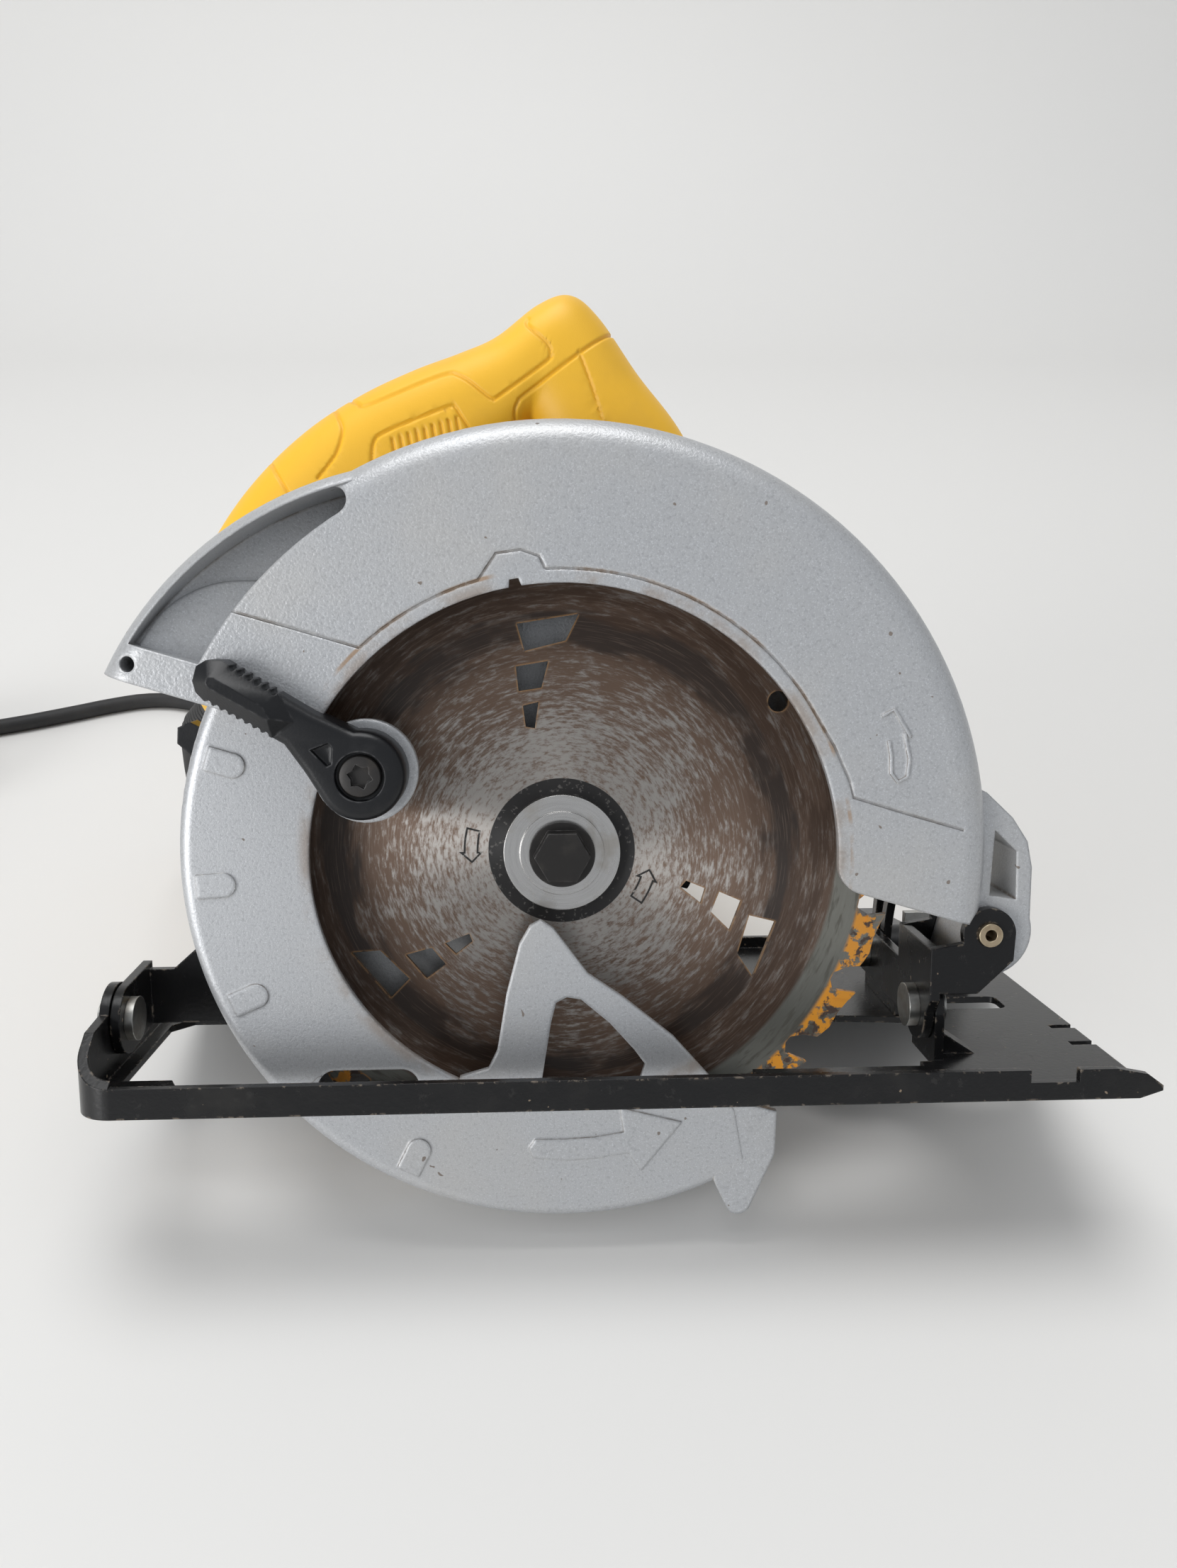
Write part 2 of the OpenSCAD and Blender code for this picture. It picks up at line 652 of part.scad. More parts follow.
module bevel_rivets() color(bright) rest() translate([0, 0, bevel_z]) {
  bar_x(rivet_r, yoke_x - 2, ear_x + 3);
  bar_x(6, yoke_x - 3, yoke_x);
  bar_x(5, ear_x + 2.5 + 0.2, ear_x + 4.7);
  bar_x(rivet_r, -shoe_rear - 1, rear_plate_x + 3);
  bar_x(6, rear_plate_x + 2.5, rear_plate_x + 4.8);
  bar_x(5, -shoe_rear - 2.2, -shoe_rear - 0.2);
}

module bevel_bolt() color(bright) rest() translate([0, bevel_bolt_y, bevel_bolt_z]) {
  bar_x(2.9, yoke_x - 2, 116);
  bar_x(5.5, yoke_x - 3, yoke_x);
  bar_x(4.6, 113.2, 116);
}

module bevel_lever() color(black_plastic) rest() translate([0, bevel_bolt_y, bevel_bolt_z]) difference() {
  union() {
    bar_x(8, ear_x + 2.8, 113);
    slab_x(ear_x + 4, 112) polygon([[0, -8], [30, -5], [38, -4], [40, 0], [38, 4], [26, 5], [0, 8]]);
  }
  bar_x(2.9 + run_gap, ear_x, 114);
}

// ---------- upper guard ----------

tail_c = [-29.8, -3.5];
bolt_at = [pivot_x - depth_slot_r * cos(6.5), pivot_z - depth_slot_r * sin(6.5)];
chamber_tail_r = 102;
lug_y0 = yoke_near + yoke_t + clear;
lug_y1 = yoke_far - yoke_t - clear;
boss_r = 21;

// Section of the guard's shell: radius, near face, rounding and far face
module shell_section(r, face, back, rounding) {
  translate([0, -face]) square([r - rounding, face + back]);
  translate([0, -face + rounding]) square([r, face + back - rounding]);
  translate([r - rounding, -face + rounding]) circle(r = rounding, $fn = round_fn);
}

module lug_outline() {
  difference() {
    union() {
      polygon([
        [88, 45], [98, 49], [104, 48], [113, 43.5], [119, 38.5], [122.5, 32], [pivot_x + 12.4, pivot_z],
        [104, guard_edge - 0.8], [88, guard_edge - 0.8]
      ]);
      translate([pivot_x, pivot_z]) circle(r = 12.4, $fn = round_fn);
    }
    polygon([[109.5, 38.9], [117, 35.1], [121.2, 22.5], [113.8, 21.5]]);
    translate([pivot_x, pivot_z]) circle(r = 3.2 + run_gap, $fn = round_fn);
    circle(r = guard_r - 1, $fn = round_fn);
  }
}

// The open chute in the guard's tail that throws the dust out
module chute() {
  intersection() {
    slab_y(-guard_face - 1, 9) difference() {
      guard_outline(-3.2);
      circle(r = chamber_tail_r + 2.5, $fn = round_fn);
      translate([-150, -150]) square([300, 150 + 24]);
    }
    translate([-70, 0, 81]) rotate([0, 132, 0]) translate([0, 0, -40]) linear_extrude(80)
      polygon([[-2, -guard_face - 2], [-2, 8], [4, 8], [80, -13], [80, -guard_face - 2]]);
  }
  intersection() {
    slab_y(-guard_face + guard_wall + 0.3, 7.6) difference() {
      circle(r = guard_r - 3.6, $fn = round_fn);
      circle(r = chamber_tail_r - 4, $fn = round_fn);
    }
    turned(124, 134) translate([90, -30]) square([30, 60]);
  }
}

// The guard from the side, grown or shrunk, without its straight lower edge
module guard_outline(grow) {
  circle(r = guard_r + grow, $fn = 180);
  translate(tail_c) circle(r = tail_r + grow, $fn = 180);
}

module above_edge() {
  polygon([[-150, guard_edge + 0.8], [150, guard_edge - 0.8], [150, 150], [-150, 150]]);
}

// The wall on the far side, with the hub's disc and the arm that carries the depth bolt
module far_wall() {
  slab_y(guard_back - 2.5, guard_back - 0.1) difference() {
    union() {
      intersection() {
        guard_outline(-1.4);
        above_edge();
      }
      circle(r = case_r, $fn = round_fn);
      translate([-case_r, 0]) square([2 * case_r, guard_edge + 4]);
      translate(bolt_at) circle(r = 11, $fn = round_fn);
      polygon([
        [bolt_at.x - 11, bolt_at.y], [bolt_at.x - 14, guard_edge + 4], [bolt_at.x + 20, guard_edge + 4],
        [bolt_at.x + 11, bolt_at.y]
      ]);
      for (a = hub_screw_angles) translate(polar(hub_screw_r, a)) circle(r = 4.6, $fn = 32);
      for (s = [-1, 1]) polygon([[s * 20, 16], [s * 38, 17], [s * 33, -12], [s * 22, -14]]);
    }
    translate(bolt_at) circle(r = 3 + run_gap, $fn = round_fn);
    circle(r = boss_r - 1, $fn = round_fn);
  }
}

module guard_shell() {
  difference() {
    intersection() {
      union() {
        turned() shell_section(guard_r, guard_face, guard_back, guard_round);
        translate([tail_c.x, 0, tail_c.y]) turned() shell_section(tail_r, guard_face, guard_back, guard_round);
      }
      slab_y(-40, 40) above_edge();
    }
    turned() shell_section(chamber_tail_r, guard_face - guard_wall, guard_back + 1, guard_round - guard_wall);
    turned(-10, 126) intersection() {
      shell_section(guard_r - guard_wall, guard_face - guard_wall - 0.15, guard_back + 1.5, guard_round - guard_wall);
      translate([chamber_tail_r - 3, -30]) square([30, 60]);
    }
    chute();
    slab_y(-guard_face - 1, -guard_face + guard_wall + 1) cutout();
    slab_y(-guard_face - 1, -guard_face + 0.45) guard_grooves();
  }
}

// The opening that shows the blade, with a sighting notch and a rounded lower corner
module cutout() {
  corner = [sqrt(pow(cutout_r + 8, 2) - pow(guard_edge + 7.6, 2)), guard_edge + 7.6];
  circle(r = cutout_r, $fn = 180);
  polygon([polar(70, 117.5), polar(cutout_r + 1.9, 116.7), polar(cutout_r + 1.9, 114.9), polar(70, 114.1)]);
  difference() {
    polygon([[60, 5], [corner.x, 5], corner, corner * cutout_r / norm(corner), [60, corner.y - 2]]);
    translate(corner) circle(r = 8, $fn = round_fn);
  }
}

// Lines in the guard's face: a border round the cut-out, with a gable over the notch
module guard_grooves() {
  border = cutout_r + 3.5;
  stroke([[-97, 39.1], [-80, 39.2], polar(border, 148.7)], 0.7);
  arc_slot(border, 0.35, 122.6, 148.5);
  stroke([polar(border, 122.6), [-38.1, 71.2], [-32.4, 73.8], [-27.6, 73.6], polar(border, 109.6)], 0.7);
  arc_slot(border, 0.35, 50, 109.4);
  stroke([polar(border, 50), [58.6, 48.6], [65, 41.3], [67.4, 37.4], [82, 37.2], [98, 37.2]], 0.7);
}

// Outline arrow that shows which way the blade turns
module guard_arrow() translate(polar(guard_r - 21.3, 35.4)) {
  stroke([[-6.5, 6.6], [-4.1, 9.2], [2.3, 3.5]], 0.8);
  stroke([[0.4, 4.1], [3.8, -1.9], [4.7, -6.5], [2.7, -8.5], [0.3, -6.7], [-1.1, -2.4], [-2.9, 1.1]], 0.8);
}

module upper_guard() color(cast) rest() tilted() difference() {
  union() {
    guard_shell();
    far_wall();
    slab_y(lug_y0, lug_y1) lug_outline();
    slab_y(-guard_face - 0.4, -guard_face + 0.4) guard_arrow();
    translate([bolt_at.x, 0, bolt_at.y]) ring_y(10.6, 3 + run_gap, guard_back - 1, arm_y0 - 0.2);
    bar_y(boss_r, boss_front - 0.6, guard_back - 0.3);
    bar_y(boss_r + 3, low_back + clear, guard_back - 0.5);
  }
  bar_y(bearing_r, boss_front + 0.5, guard_back + 1);
  bar_y(10.3, 0, guard_back);
  rotate([0, -rest_tilt, 0]) case_screw_places() bar_y(1.95, guard_back - 4, guard_back + 1);
  translate([-118.7, 0, 19.1]) bar_y(2, -guard_face - 1, 4);
  for (y = [-30, lug_y1 + 0.1]) translate([pivot_x, 0, pivot_z]) bar_y(8.2, y, y + 19.2);
}

module retaining_ring() color(dark_bright) rest() ring_y(boss_r + 2.4, boss_r + run_gap, boss_front, low_back - low_wall - 0.2);

module guard_bumper() color(rubber) rest() tilted() translate([-78, 0, 4.6]) bar_y(3.2, 7, guard_back - 2.5);

module depth_pin() color([0.7, 0.6, 0.42]) rest() translate([piv_x, 0, piv_z]) ring_y(3.2, 1.6, yoke_near - 1.2, yoke_far + 1.2);

module at_depth_bolt() {
  tilted() translate([bolt_at.x, 0, bolt_at.y]) children();
}

module depth_bolt() color(bright) rest() at_depth_bolt() {
  bar_y(6, guard_back - 2.5 - 2.2, guard_back - 2.5);
  bar_y(3, guard_back - 2.6, 33.5);
}

module depth_washer() color(bright) rest() at_depth_bolt() ring_y(9, 3 + run_gap, arm_y1 + 0.3, arm_y1 + 1.7);

module depth_lever() color(black_plastic) rest() at_depth_bolt() difference() {
  union() {
    bar_y(8, arm_y1 + 1.9, 32);
    slab_y(arm_y1 + 3, 31) polygon([[0, -8], [0, 8], [-26, 10.5], [-36, 12.5], [-39, 10], [-38, 5.5], [-24, -1]]);
  }
  bar_y(3 + run_gap, 20, 35);
}

// ---------- lower guard ----------

low_start = 149;
low_stop = 306;
low_round = 3.5;
lever_at = polar(lever_r, lever_angle);

// The near wall of the lower guard; it runs out past the rim, which trims it
module low_face_outline() {
  difference() {
    polygon([
      [0, 0], polar(150, low_start - 3), polar(150, 170), polar(150, 192), polar(150, 214), polar(150, 238),
      polar(150, 248), polar(30, 245.5)
    ]);
    circle(r = low_window_r, $fn = 180);
  }
  polygon([
    polar(150, 246), polar(65.4, 244.6), [-20.4, -56.9], [-18, -52], [-15.3, -36.2], [-11.7, -22.6], [-8.9, -17.7],
    [-6, -16.2], [-2.6, -18.6], [6.5, -31.1], [16, -37.8], [29.5, -49], [39.2, -60.2], [46, -70], [48.5, -84],
    [50, -100], [54, -140], polar(150, 280), polar(150, 262)
  ]);
}

module low_windows() {
  polygon([
    [-6.1, -60.2], [-3.5, -44.3], [-2.1, -38.8], [0.8, -37.3], [4.6, -38], [12.2, -44.6], [18.9, -52.3], [21.8, -56.4],
    [20.4, -60.8], [16, -65], [8, -66.5], [0, -67], [-5, -66.5]
  ]);
  round_rect(-66, -39, -66, -56.4, 4.7);
}

// Raised pads along the rim, and an arrow that shows which way the guard turns back
module low_marks() {
  for (a = [163, 183.5, 203.5, 223.5, 243.5]) rotate(a) {
    translate([88.6, 0]) circle(r = 3.2, $fn = 32);
    translate([88.6, -3.15]) square([6.9, 6.3]);
  }
  polygon([
    polar(77.4, -96), polar(77.1, -90), polar(77.1, -84), polar(77.1, -78), [15, -68.5], [31.7, -72.9], [20.7, -86.5],
    polar(83.1, -78), polar(83.1, -84), polar(83.1, -90), polar(82.7, -96), polar(80, -97)
  ]);
}

// The hooked end wall that meets the work
module low_hook() {
  polygon([
    [40.7, -90.2], [43.8, -97.1], [45.4, -99.6], [46.8, -100], [48.6, -100], [50.4, -98.6], [57.4, -82.9], [57.8, -70.6],
    [48.5, -68], [43, -69], [42, -80]
  ]);
}

module lower_guard() color(cast) rest() difference() {
  union() {
    difference() {
      turned(low_start, low_stop) shell_section(low_r, low_face, low_back, low_round);
      turned() shell_section(low_r - 2.2, low_face - low_wall, low_back - low_wall, low_round - low_wall);
      slab_y(-low_face - 1, -low_face + low_wall + 0.2) difference() {
        circle(r = 140, $fn = 180);
        low_face_outline();
      }
      slab_y(-20, 20) polygon([[20, -30], [39.5, -59.5], [46.3, -70], [48.8, -86], [51, -112], [140, -112], [140, 0]]);
    }
    slab_y(low_back - low_wall + 0.1, low_back - 0.1) circle(r = 30, $fn = round_fn);
    slab_y(-low_face + 0.2, -low_face + low_wall) low_hook();
    slab_y(-low_face + 0.2, low_back - 0.2) difference() {
      low_hook();
      circle(r = blade_r + 1.6, $fn = 180);
    }
    slab_y(-low_face - 0.45, -low_face + 0.3) low_marks();
    translate([lever_at.x, 0, lever_at.y]) {
      bar_y(13.4, -low_face - 2, -low_face + 1);
      bar_y(9, -guard_face - 0.7, -low_face - 1);
    }
  }
  bar_y(boss_r + run_gap, 0, guard_back);
  slab_y(0, guard_back) arc_slot(78.13, 3.9, 160, 266.5);
  slab_y(-low_face - 1, -low_face + low_wall + 1) low_windows();
  translate([lever_at.x, 0, lever_at.y]) bar_y(2, -21, -low_face + 0.5);
}

module guard_spring() color(bright) rest() {
  turned() translate([boss_r + 4.6, guard_back - 2.5 - 0.95]) circle(r = 0.9, $fn = 24);
  rotate([0, -100, 0]) translate([0, guard_back - 3.45, 0]) bar_x(0.8, boss_r + 5, boss_r + 14);
}

lever_face = guard_face + 0.7;
lever_front = 27;

module guard_lever() color(black_plastic) rest() difference() {
  union() {
    slab_y(-lever_front, -lever_face) {
      translate(lever_at) circle(r = 11.3, $fn = round_fn);
      polygon([
        [-56.5, 15.6], [-64, 25.4], [-68.9, 32.5], [-88.2, 44], [-90.2, 48.4], [-89, 52.7], [-85.2, 53.5], [-82.6, 53.5],
        [-61.7, 40.3], [-51.5, 35.6]
      ]);
    }
    slab_y(-31, -lever_front) polygon([
      [-72, 34.4], [-88.2, 44], [-90.2, 48.4], [-89, 52.7], [-85.2, 53.5], [-82.6, 53.5], [-70, 45.6]
    ]);
  }
  translate([lever_at.x, 0, lever_at.y]) {
    bar_y(2.2, -32, -15);
    bar_y(6.2, -32, -lever_front + 2.4);
  }
  slab_y(-lever_front - 1, -lever_front + 2) polygon([[-62.4, 31.2], [-57.8, 32.8], [-57, 30.3], [-57.4, 27.4]]);
  slab_y(-32, -30) translate([-72, 39.6]) rotate(144.6) for (i = [0:4]) translate([2.4 + 2.6 * i, -12]) square([1.1, 24]);
}

module lever_screw() color(bright) rest() translate([lever_at.x, 0, lever_at.y]) {
  bar_y(5.4, -lever_front + 0.4, -lever_front + 2.4);
  bar_y(1.9, -lever_front + 1, -15);
}

// ---------- handle ----------

// Smooth curve through stations, each one a list of numbers
function spline(p, i, t) =
  let (a = p[max(i - 1, 0)], b = p[i], c = p[i + 1], d = p[min(i + 2, len(p) - 1)])
  b + t * (c - a) / 2 + t * t * (a - 2.5 * b + 2 * c - d / 2) + t * t * t * ((d - a) / 2 + 1.5 * (b - c));

function smooth(p, n) = [for (i = [0:len(p) - 2], k = [0:n - 1]) spline(p, i, k / n), p[len(p) - 1]];

function power(v, e) = sign(v) * pow(abs(v), e);

// A flattened round section between pairs of outer x, z and inner x, z
module swept(pairs, half_w, sides, squareness) {
  n = len(pairs);
  points = [for (q = pairs, k = [0:sides - 1]) let (
    u = 360 * k / sides,
    across = (1 + power(cos(u), squareness)) / 2,
    w = half_w * power(sin(u), squareness)
  ) [q[2] + (q[0] - q[2]) * across, handle_y - w, q[3] + (q[1] - q[3]) * across]];
  faces = [
    for (i = [0:n - 2], k = [0:sides - 1]) let (m = (k + 1) % sides, q = i * sides) [q + k, q + m, q + sides + m, q + sides + k],
    [for (k = [sides - 1:-1:0]) k],
    [for (k = [0:sides - 1]) (n - 1) * sides + k]
  ];
  polyhedron(points, faces, 6);
}

// The loop of the handle from the motor up, over the crest, down the grip and back
handle_pairs = smooth([
  [22, 52, -8, 50], [29, 82, -14, 75], [19, 104, -21, 87], [3.4, 122.9, -29, 97], [-14.6, 135.8, -36, 105],
  [-30.3, 148, -40, 110], [-40.2, 151.6, -41.5, 111.5], [-48.5, 146.3, -42.3, 110.5], [-57.8, 134, -43.2, 107.5],
  [-66.8, 126.5, -45, 103], [-78.4, 118, -53.6, 92], [-91.3, 106.8, -64.7, 81.2], [-103.6, 93, -74.4, 70.5],
  [-113.8, 76.6, -82.2, 59.4], [-121, 59, -89, 47], [-125, 39.9, -93.8, 34.1], [-123, 19, -94, 24],
  [-110, 1, -90.5, 18.5], [-88, -6.4, -84.2, 17.4], [-70, -7, -70, 17], [-44, -4, -46, 20]
], 2);

// Points a share of the way from the handle's outer to its inner outline
function between(share) = [for (q = handle_pairs) [q[0] + (q[2] - q[0]) * share, q[1] + (q[3] - q[1]) * share]];

function reversed(p) = [for (i = [len(p) - 1:-1:0]) p[i]];

module at_trigger() {
  translate([-52, handle_y, 92]) rotate([0, -128.5, 0]) children();
}

handle_screw_places = [[-16, 106], [-97, 66], [-109, 26], [-64, 5]];
button_at = [-40, 122];
hollow = 11;

module handle_half(y0, y1) {
  tilted() difference() {
    union() {
      difference() {
        swept(handle_pairs, handle_w / 2, 20, 0.8);
        slab_y(handle_y - hollow, handle_y + hollow) polygon(concat(between(0.15), reversed(between(0.85))));
      }
      for (q = handle_screw_places) translate([q.x, 0, q.y]) bar_y(3.6, handle_y - hollow - 1, handle_y + hollow + 1);
    }
    translate([-200, y0, -100]) cube([300, y1 - y0, 300]);
    translate([motor_x, 0, motor_z]) bar_y(motor_r + run_gap, 20, 90);
    at_trigger() translate([-20, -6.3, -13.3]) cube([32, 12.6, 26.6]);
    rotate([0, -rest_tilt, 0]) rotate([lean, 0, 0]) translate([0, 0, -rest_h]) along_exit(-16)
      cylinder(r = 6 + run_gap, h = 40, $fn = round_fn);
    children();
  }
}

module handle_left() color(yellow) rest() handle_half(handle_y, handle_y + 40)
  for (q = handle_screw_places) translate([q.x, 0, q.y]) bar_y(1.5 + run_gap, handle_y - 11.5, handle_y + 1);

module handle_right() color(yellow) rest() handle_half(handle_y - 40, handle_y) {
  for (q = handle_screw_places) translate([q.x, 0, q.y]) {
    bar_y(1.5 + run_gap, handle_y - 1, handle_y + 20);
    bar_y(2.9, handle_y + handle_w / 2 - 4, handle_y + handle_w / 2 + 3);
  }
  translate([button_at.x, 0, button_at.y]) bar_y(5.5 + clear, handle_y + 2, handle_y + 30);
}

module handle_screws() color(bright) rest() tilted() for (q = handle_screw_places) translate([q.x, 0, q.y])
  screw_y_back(2.8, 1.8, 1.5, handle_y - 11, handle_y + handle_w / 2 - 2.2);

module switch() color(black_plastic) rest() tilted() at_trigger() {
  translate([15.4, -8, -13]) cube([15, 16, 26]);
  translate([14.6, -3, -3]) cube([1, 6, 6]);
}

module trigger() color(black_plastic) rest() tilted() at_trigger() difference() {
  translate([-9, -6, -13]) cube([18.4, 12, 26]);
  translate([-15.5, 0, 2]) bar_y(12, -8, 8);
}

module lock_off_button() color(black_plastic) rest() tilted() translate([button_at.x, 0, button_at.y]) {
  bar_y(5.5, handle_y + 6, handle_y + handle_w / 2 + 3);
}

// ---------- mains lead ----------

cord_r = cord_d / 2;
// Where the lead leaves the handle, and its way from there to the floor, in floor directions
exit_b = [-112, handle_y + 11, 6];
exit_s = [exit_b.x * cos(rest_tilt) + exit_b.z * sin(rest_tilt), exit_b.y, exit_b.z * cos(rest_tilt) - exit_b.x * sin(rest_tilt)];
exit_w = [exit_s.x, exit_s.y * cos(lean) + exit_s.z * sin(lean), exit_s.z * cos(lean) - exit_s.y * sin(lean) + rest_h];
exit_tilt = 124;
exit_turn = 32;
exit_dir = [-sin(exit_turn) * sin(exit_tilt), cos(exit_turn) * sin(exit_tilt), cos(exit_tilt)];

module along_exit(start) {
  translate(exit_w + start * exit_dir) rotate([0, 0, exit_turn]) rotate([-exit_tilt, 0, 0]) children();
}

// A round tube through points
module tube(path, r, sides) {
  n = len(path);
  tangents = [for (i = [0:n - 1]) let (d = path[min(i + 1, n - 1)] - path[max(i - 1, 0)]) d / norm(d)];
  points = [for (i = [0:n - 1]) let (
    t = tangents[i],
    s0 = cross(t, [1, 0.2, 0.1]),
    s = s0 / norm(s0),
    v = cross(t, s)
  ) for (k = [0:sides - 1]) path[i] + r * (s * cos(360 * k / sides) + v * sin(360 * k / sides))];
  faces = [
    for (i = [0:n - 2], k = [0:sides - 1]) let (m = (k + 1) % sides, q = i * sides) [q + k, q + sides + k, q + sides + m, q + m],
    [for (k = [0:sides - 1]) k],
    [for (k = [sides - 1:-1:0]) (n - 1) * sides + k]
  ];
  polyhedron(points, faces, 6);
}

sleeve_len = 42;
sleeve_end = exit_w + sleeve_len * exit_dir;

module on_floor() {
  translate([-centre_x, -centre_y, 0]) children();
}

module cord_sleeve() color(rubber) on_floor() difference() {
  union() {
    along_exit(-11) cylinder(r = 6, h = 16, $fn = round_fn);
    along_exit(4.5) cylinder(r1 = 6, r2 = 4.6, h = sleeve_len - 4.5, $fn = round_fn);
  }
  along_exit(-12) cylinder(r = cord_r + 0.1, h = sleeve_len + 20, $fn = round_fn);
}

coil_r = 41;
coil_c = [-312, 202];
coil_start = 95;
coil_turns = 7.24;
coil_gap = cord_d + 0.4;
// Whether each turn lies in the outer column, and in which layer
turn_outer = [1, 0, 0, 1, 1, 0, 0, 1, 1];
turn_layer = [0, 0, 1, 1, 2, 2, 3, 3, 3];

function ease(s) = (1 - cos(180 * min(max(s, 0), 1))) / 2;
function step(v, u, from) = v[floor(u)] + (v[floor(u) + 1] - v[floor(u)]) * ease((u - floor(u) - from) / 0.305);

function coil_point(u) = let (
  a = coil_start + 360 * u,
  r = coil_r + coil_gap * (step(turn_outer, u, 0.695) - 0.5)
) [coil_c.x + r * cos(a), coil_c.y + r * sin(a), cord_r + 0.1 + coil_gap * step(turn_layer, u, 0.39)];

// The wound part, then down to the plug on the floor
coil_last = coil_point(coil_turns);
plug_r = 11;
coil_drop = plug_r - coil_last.z;
plug_at = coil_last + [0, -70, coil_drop];
coil_way = concat(
  [for (i = [0:18 * coil_turns]) coil_point(i / 18)],
  smooth([coil_last, coil_last + [0, -14, -1.5], coil_last + [0, -34, -8.5], coil_last + [0, -54, -13.8], coil_last + [0, -70, coil_drop]], 3)
);
floor_way = [
  exit_w - 8 * exit_dir, exit_w, sleeve_end - 20 * exit_dir, sleeve_end - exit_dir, sleeve_end + 8 * exit_dir,
  [-134, 123, 61], [-138, 136, 37], [-140, 152, 15], [-141, 173, cord_r], [-142, 200, cord_r], [-145, 227, cord_r],
  [-154, 253, cord_r], [-167, 272, cord_r], [-184, 282, cord_r], [-202, 284, cord_r], [-218, 279, cord_r],
  [-234, 271, cord_r], [-262, 258, cord_r], [-290, 249, cord_r], coil_point(0)
];

// Nothing of the lead sinks into the floor
function on_top(p) = [for (q = p) [q.x, q.y, max(q.z, cord_r + 0.1)]];

module cord_run() color(rubber) on_floor() tube(on_top(smooth(floor_way, 3)), cord_r, 12);

module cord_coil() color(rubber) on_floor() tube(coil_way, cord_r, 8);

module plug() color(rubber) on_floor() translate(plug_at) difference() {
  union() {
    bar_y(5.4, -12, 0);
    bar_y(plug_r, -40, -10);
    bar_y(plug_r - 3, -45, -39);
    for (s = [-1, 1]) translate([s * 9.5, 0, 0]) bar_y(2.4, -63, -35);
  }
  bar_y(cord_r - 0.4, -8, 1);
}

shoe_plate();
bevel_quadrant();
fence_clamp();
fence_screw();
front_yoke();
rear_bracket();
bevel_rivets();
bevel_bolt();
bevel_lever();
upper_guard();
guard_bumper();
gear_case();
retaining_ring();
spindle_bearing();
spindle_bush();
depth_pin();
depth_bolt();
depth_washer();
depth_lever();
motor_housing();
end_cap();
field_stator();
brush_caps();
carbon_brushes();
motor_bearings();
case_screws();
motor_screws();
handle_left();
handle_right();
handle_screws();
switch();
trigger();
lock_off_button();
spindle_lock();
spindle();
spindle_gear();
inner_washer();
blade();
outer_washer();
blade_bolt();
armature_shaft();
armature_core();
commutator();
fan();
lower_guard();
guard_spring();
guard_lever();
lever_screw();
cord_sleeve();
cord_run();
cord_coil();
plug();
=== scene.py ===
"""Dresses the circular saw: finishes for its frame, a smooth handle, the mains lead, screws and marks.

Lengths in this script are in millimetres around the blade's centre, as the saw's own drawings
have them. SAW turns them into metres as the saw stands on the floor. The joints, the bounds, the
stage, the lead's curve and names that end in _m or _M are in metres.
"""

import json
from math import atan2, copysign, cos, floor, pi, radians, sin, sqrt

import bmesh
import bpy
from bpy.props import FloatProperty, FloatVectorProperty, IntProperty, PointerProperty
from mathutils import Matrix, Vector
from mathutils.kdtree import KDTree


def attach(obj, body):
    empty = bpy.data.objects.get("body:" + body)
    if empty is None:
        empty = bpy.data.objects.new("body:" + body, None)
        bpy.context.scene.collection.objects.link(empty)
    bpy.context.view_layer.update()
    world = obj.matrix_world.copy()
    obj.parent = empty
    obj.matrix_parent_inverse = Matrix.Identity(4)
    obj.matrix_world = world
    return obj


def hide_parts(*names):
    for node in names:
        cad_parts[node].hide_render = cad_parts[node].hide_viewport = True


bl_info = {
    "name": "Circular saw",
    "version": (1, 0),
    "blender": (4, 5, 0),
    "location": "3D View > Sidebar > Saw",
    "description": "Finishes, handle, mains lead, screws and marks of a circular saw, and its stage",
    "category": "Object",
}

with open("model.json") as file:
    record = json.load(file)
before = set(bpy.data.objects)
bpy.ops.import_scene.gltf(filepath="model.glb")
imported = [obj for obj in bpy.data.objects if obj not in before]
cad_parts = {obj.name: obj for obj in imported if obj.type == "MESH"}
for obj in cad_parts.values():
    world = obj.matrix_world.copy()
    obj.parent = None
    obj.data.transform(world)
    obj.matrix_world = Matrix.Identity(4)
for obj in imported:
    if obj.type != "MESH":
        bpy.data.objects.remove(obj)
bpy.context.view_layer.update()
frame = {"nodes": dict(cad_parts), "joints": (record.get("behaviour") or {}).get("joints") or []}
NODES = frame["nodes"]
JOINTS = {joint["name"]: joint for joint in frame["joints"]}

# The blade's axis tells how far the saw leans back and where its drawings are centred
BLADE_AXIS = Vector(JOINTS["blade_spin"]["axis"])
BLADE_CENTRE_M = Vector(JOINTS["blade_spin"]["pos_m"])
LEAN = atan2(-BLADE_AXIS.z, BLADE_AXIS.y)
REST_TILT = radians(16.6)

SAW = Matrix.Translation(BLADE_CENTRE_M) @ Matrix.Rotation(-LEAN, 4, "X") @ Matrix.Scale(0.001, 4)
# The saw's body is drawn as it stands at full depth
BODY = SAW @ Matrix.Rotation(REST_TILT, 4, "Y")

HANDLE_Y = 52.0
HANDLE_HALF_WIDTH = 18.0
HANDLE_SCREWS = ((-16, 106), (-97, 66), (-109, 26), (-64, 5))
BUTTON_AT = (-40, 122)
TRIGGER = Matrix.Translation((-52, HANDLE_Y, 92)) @ Matrix.Rotation(radians(-128.5), 4, "Y")
GUARD_R = 112.7
GUARD_FACE = 19.0
GUARD_ROUND = 8.0
CUTOUT_R = 71.9
LOW_WINDOW_R = 66.2
PRINTED_RING_R = 20.0
BURNT_RING_R = 60.5
BLADE_RIM_R = 76.0
TEETH_R = 84.0
MOTOR_R = 45.0
MOTOR_AT = Vector((-8.0, 0.0, 25.264))
LEVER_AT = Vector((-50.42, 0.0, 24.37))


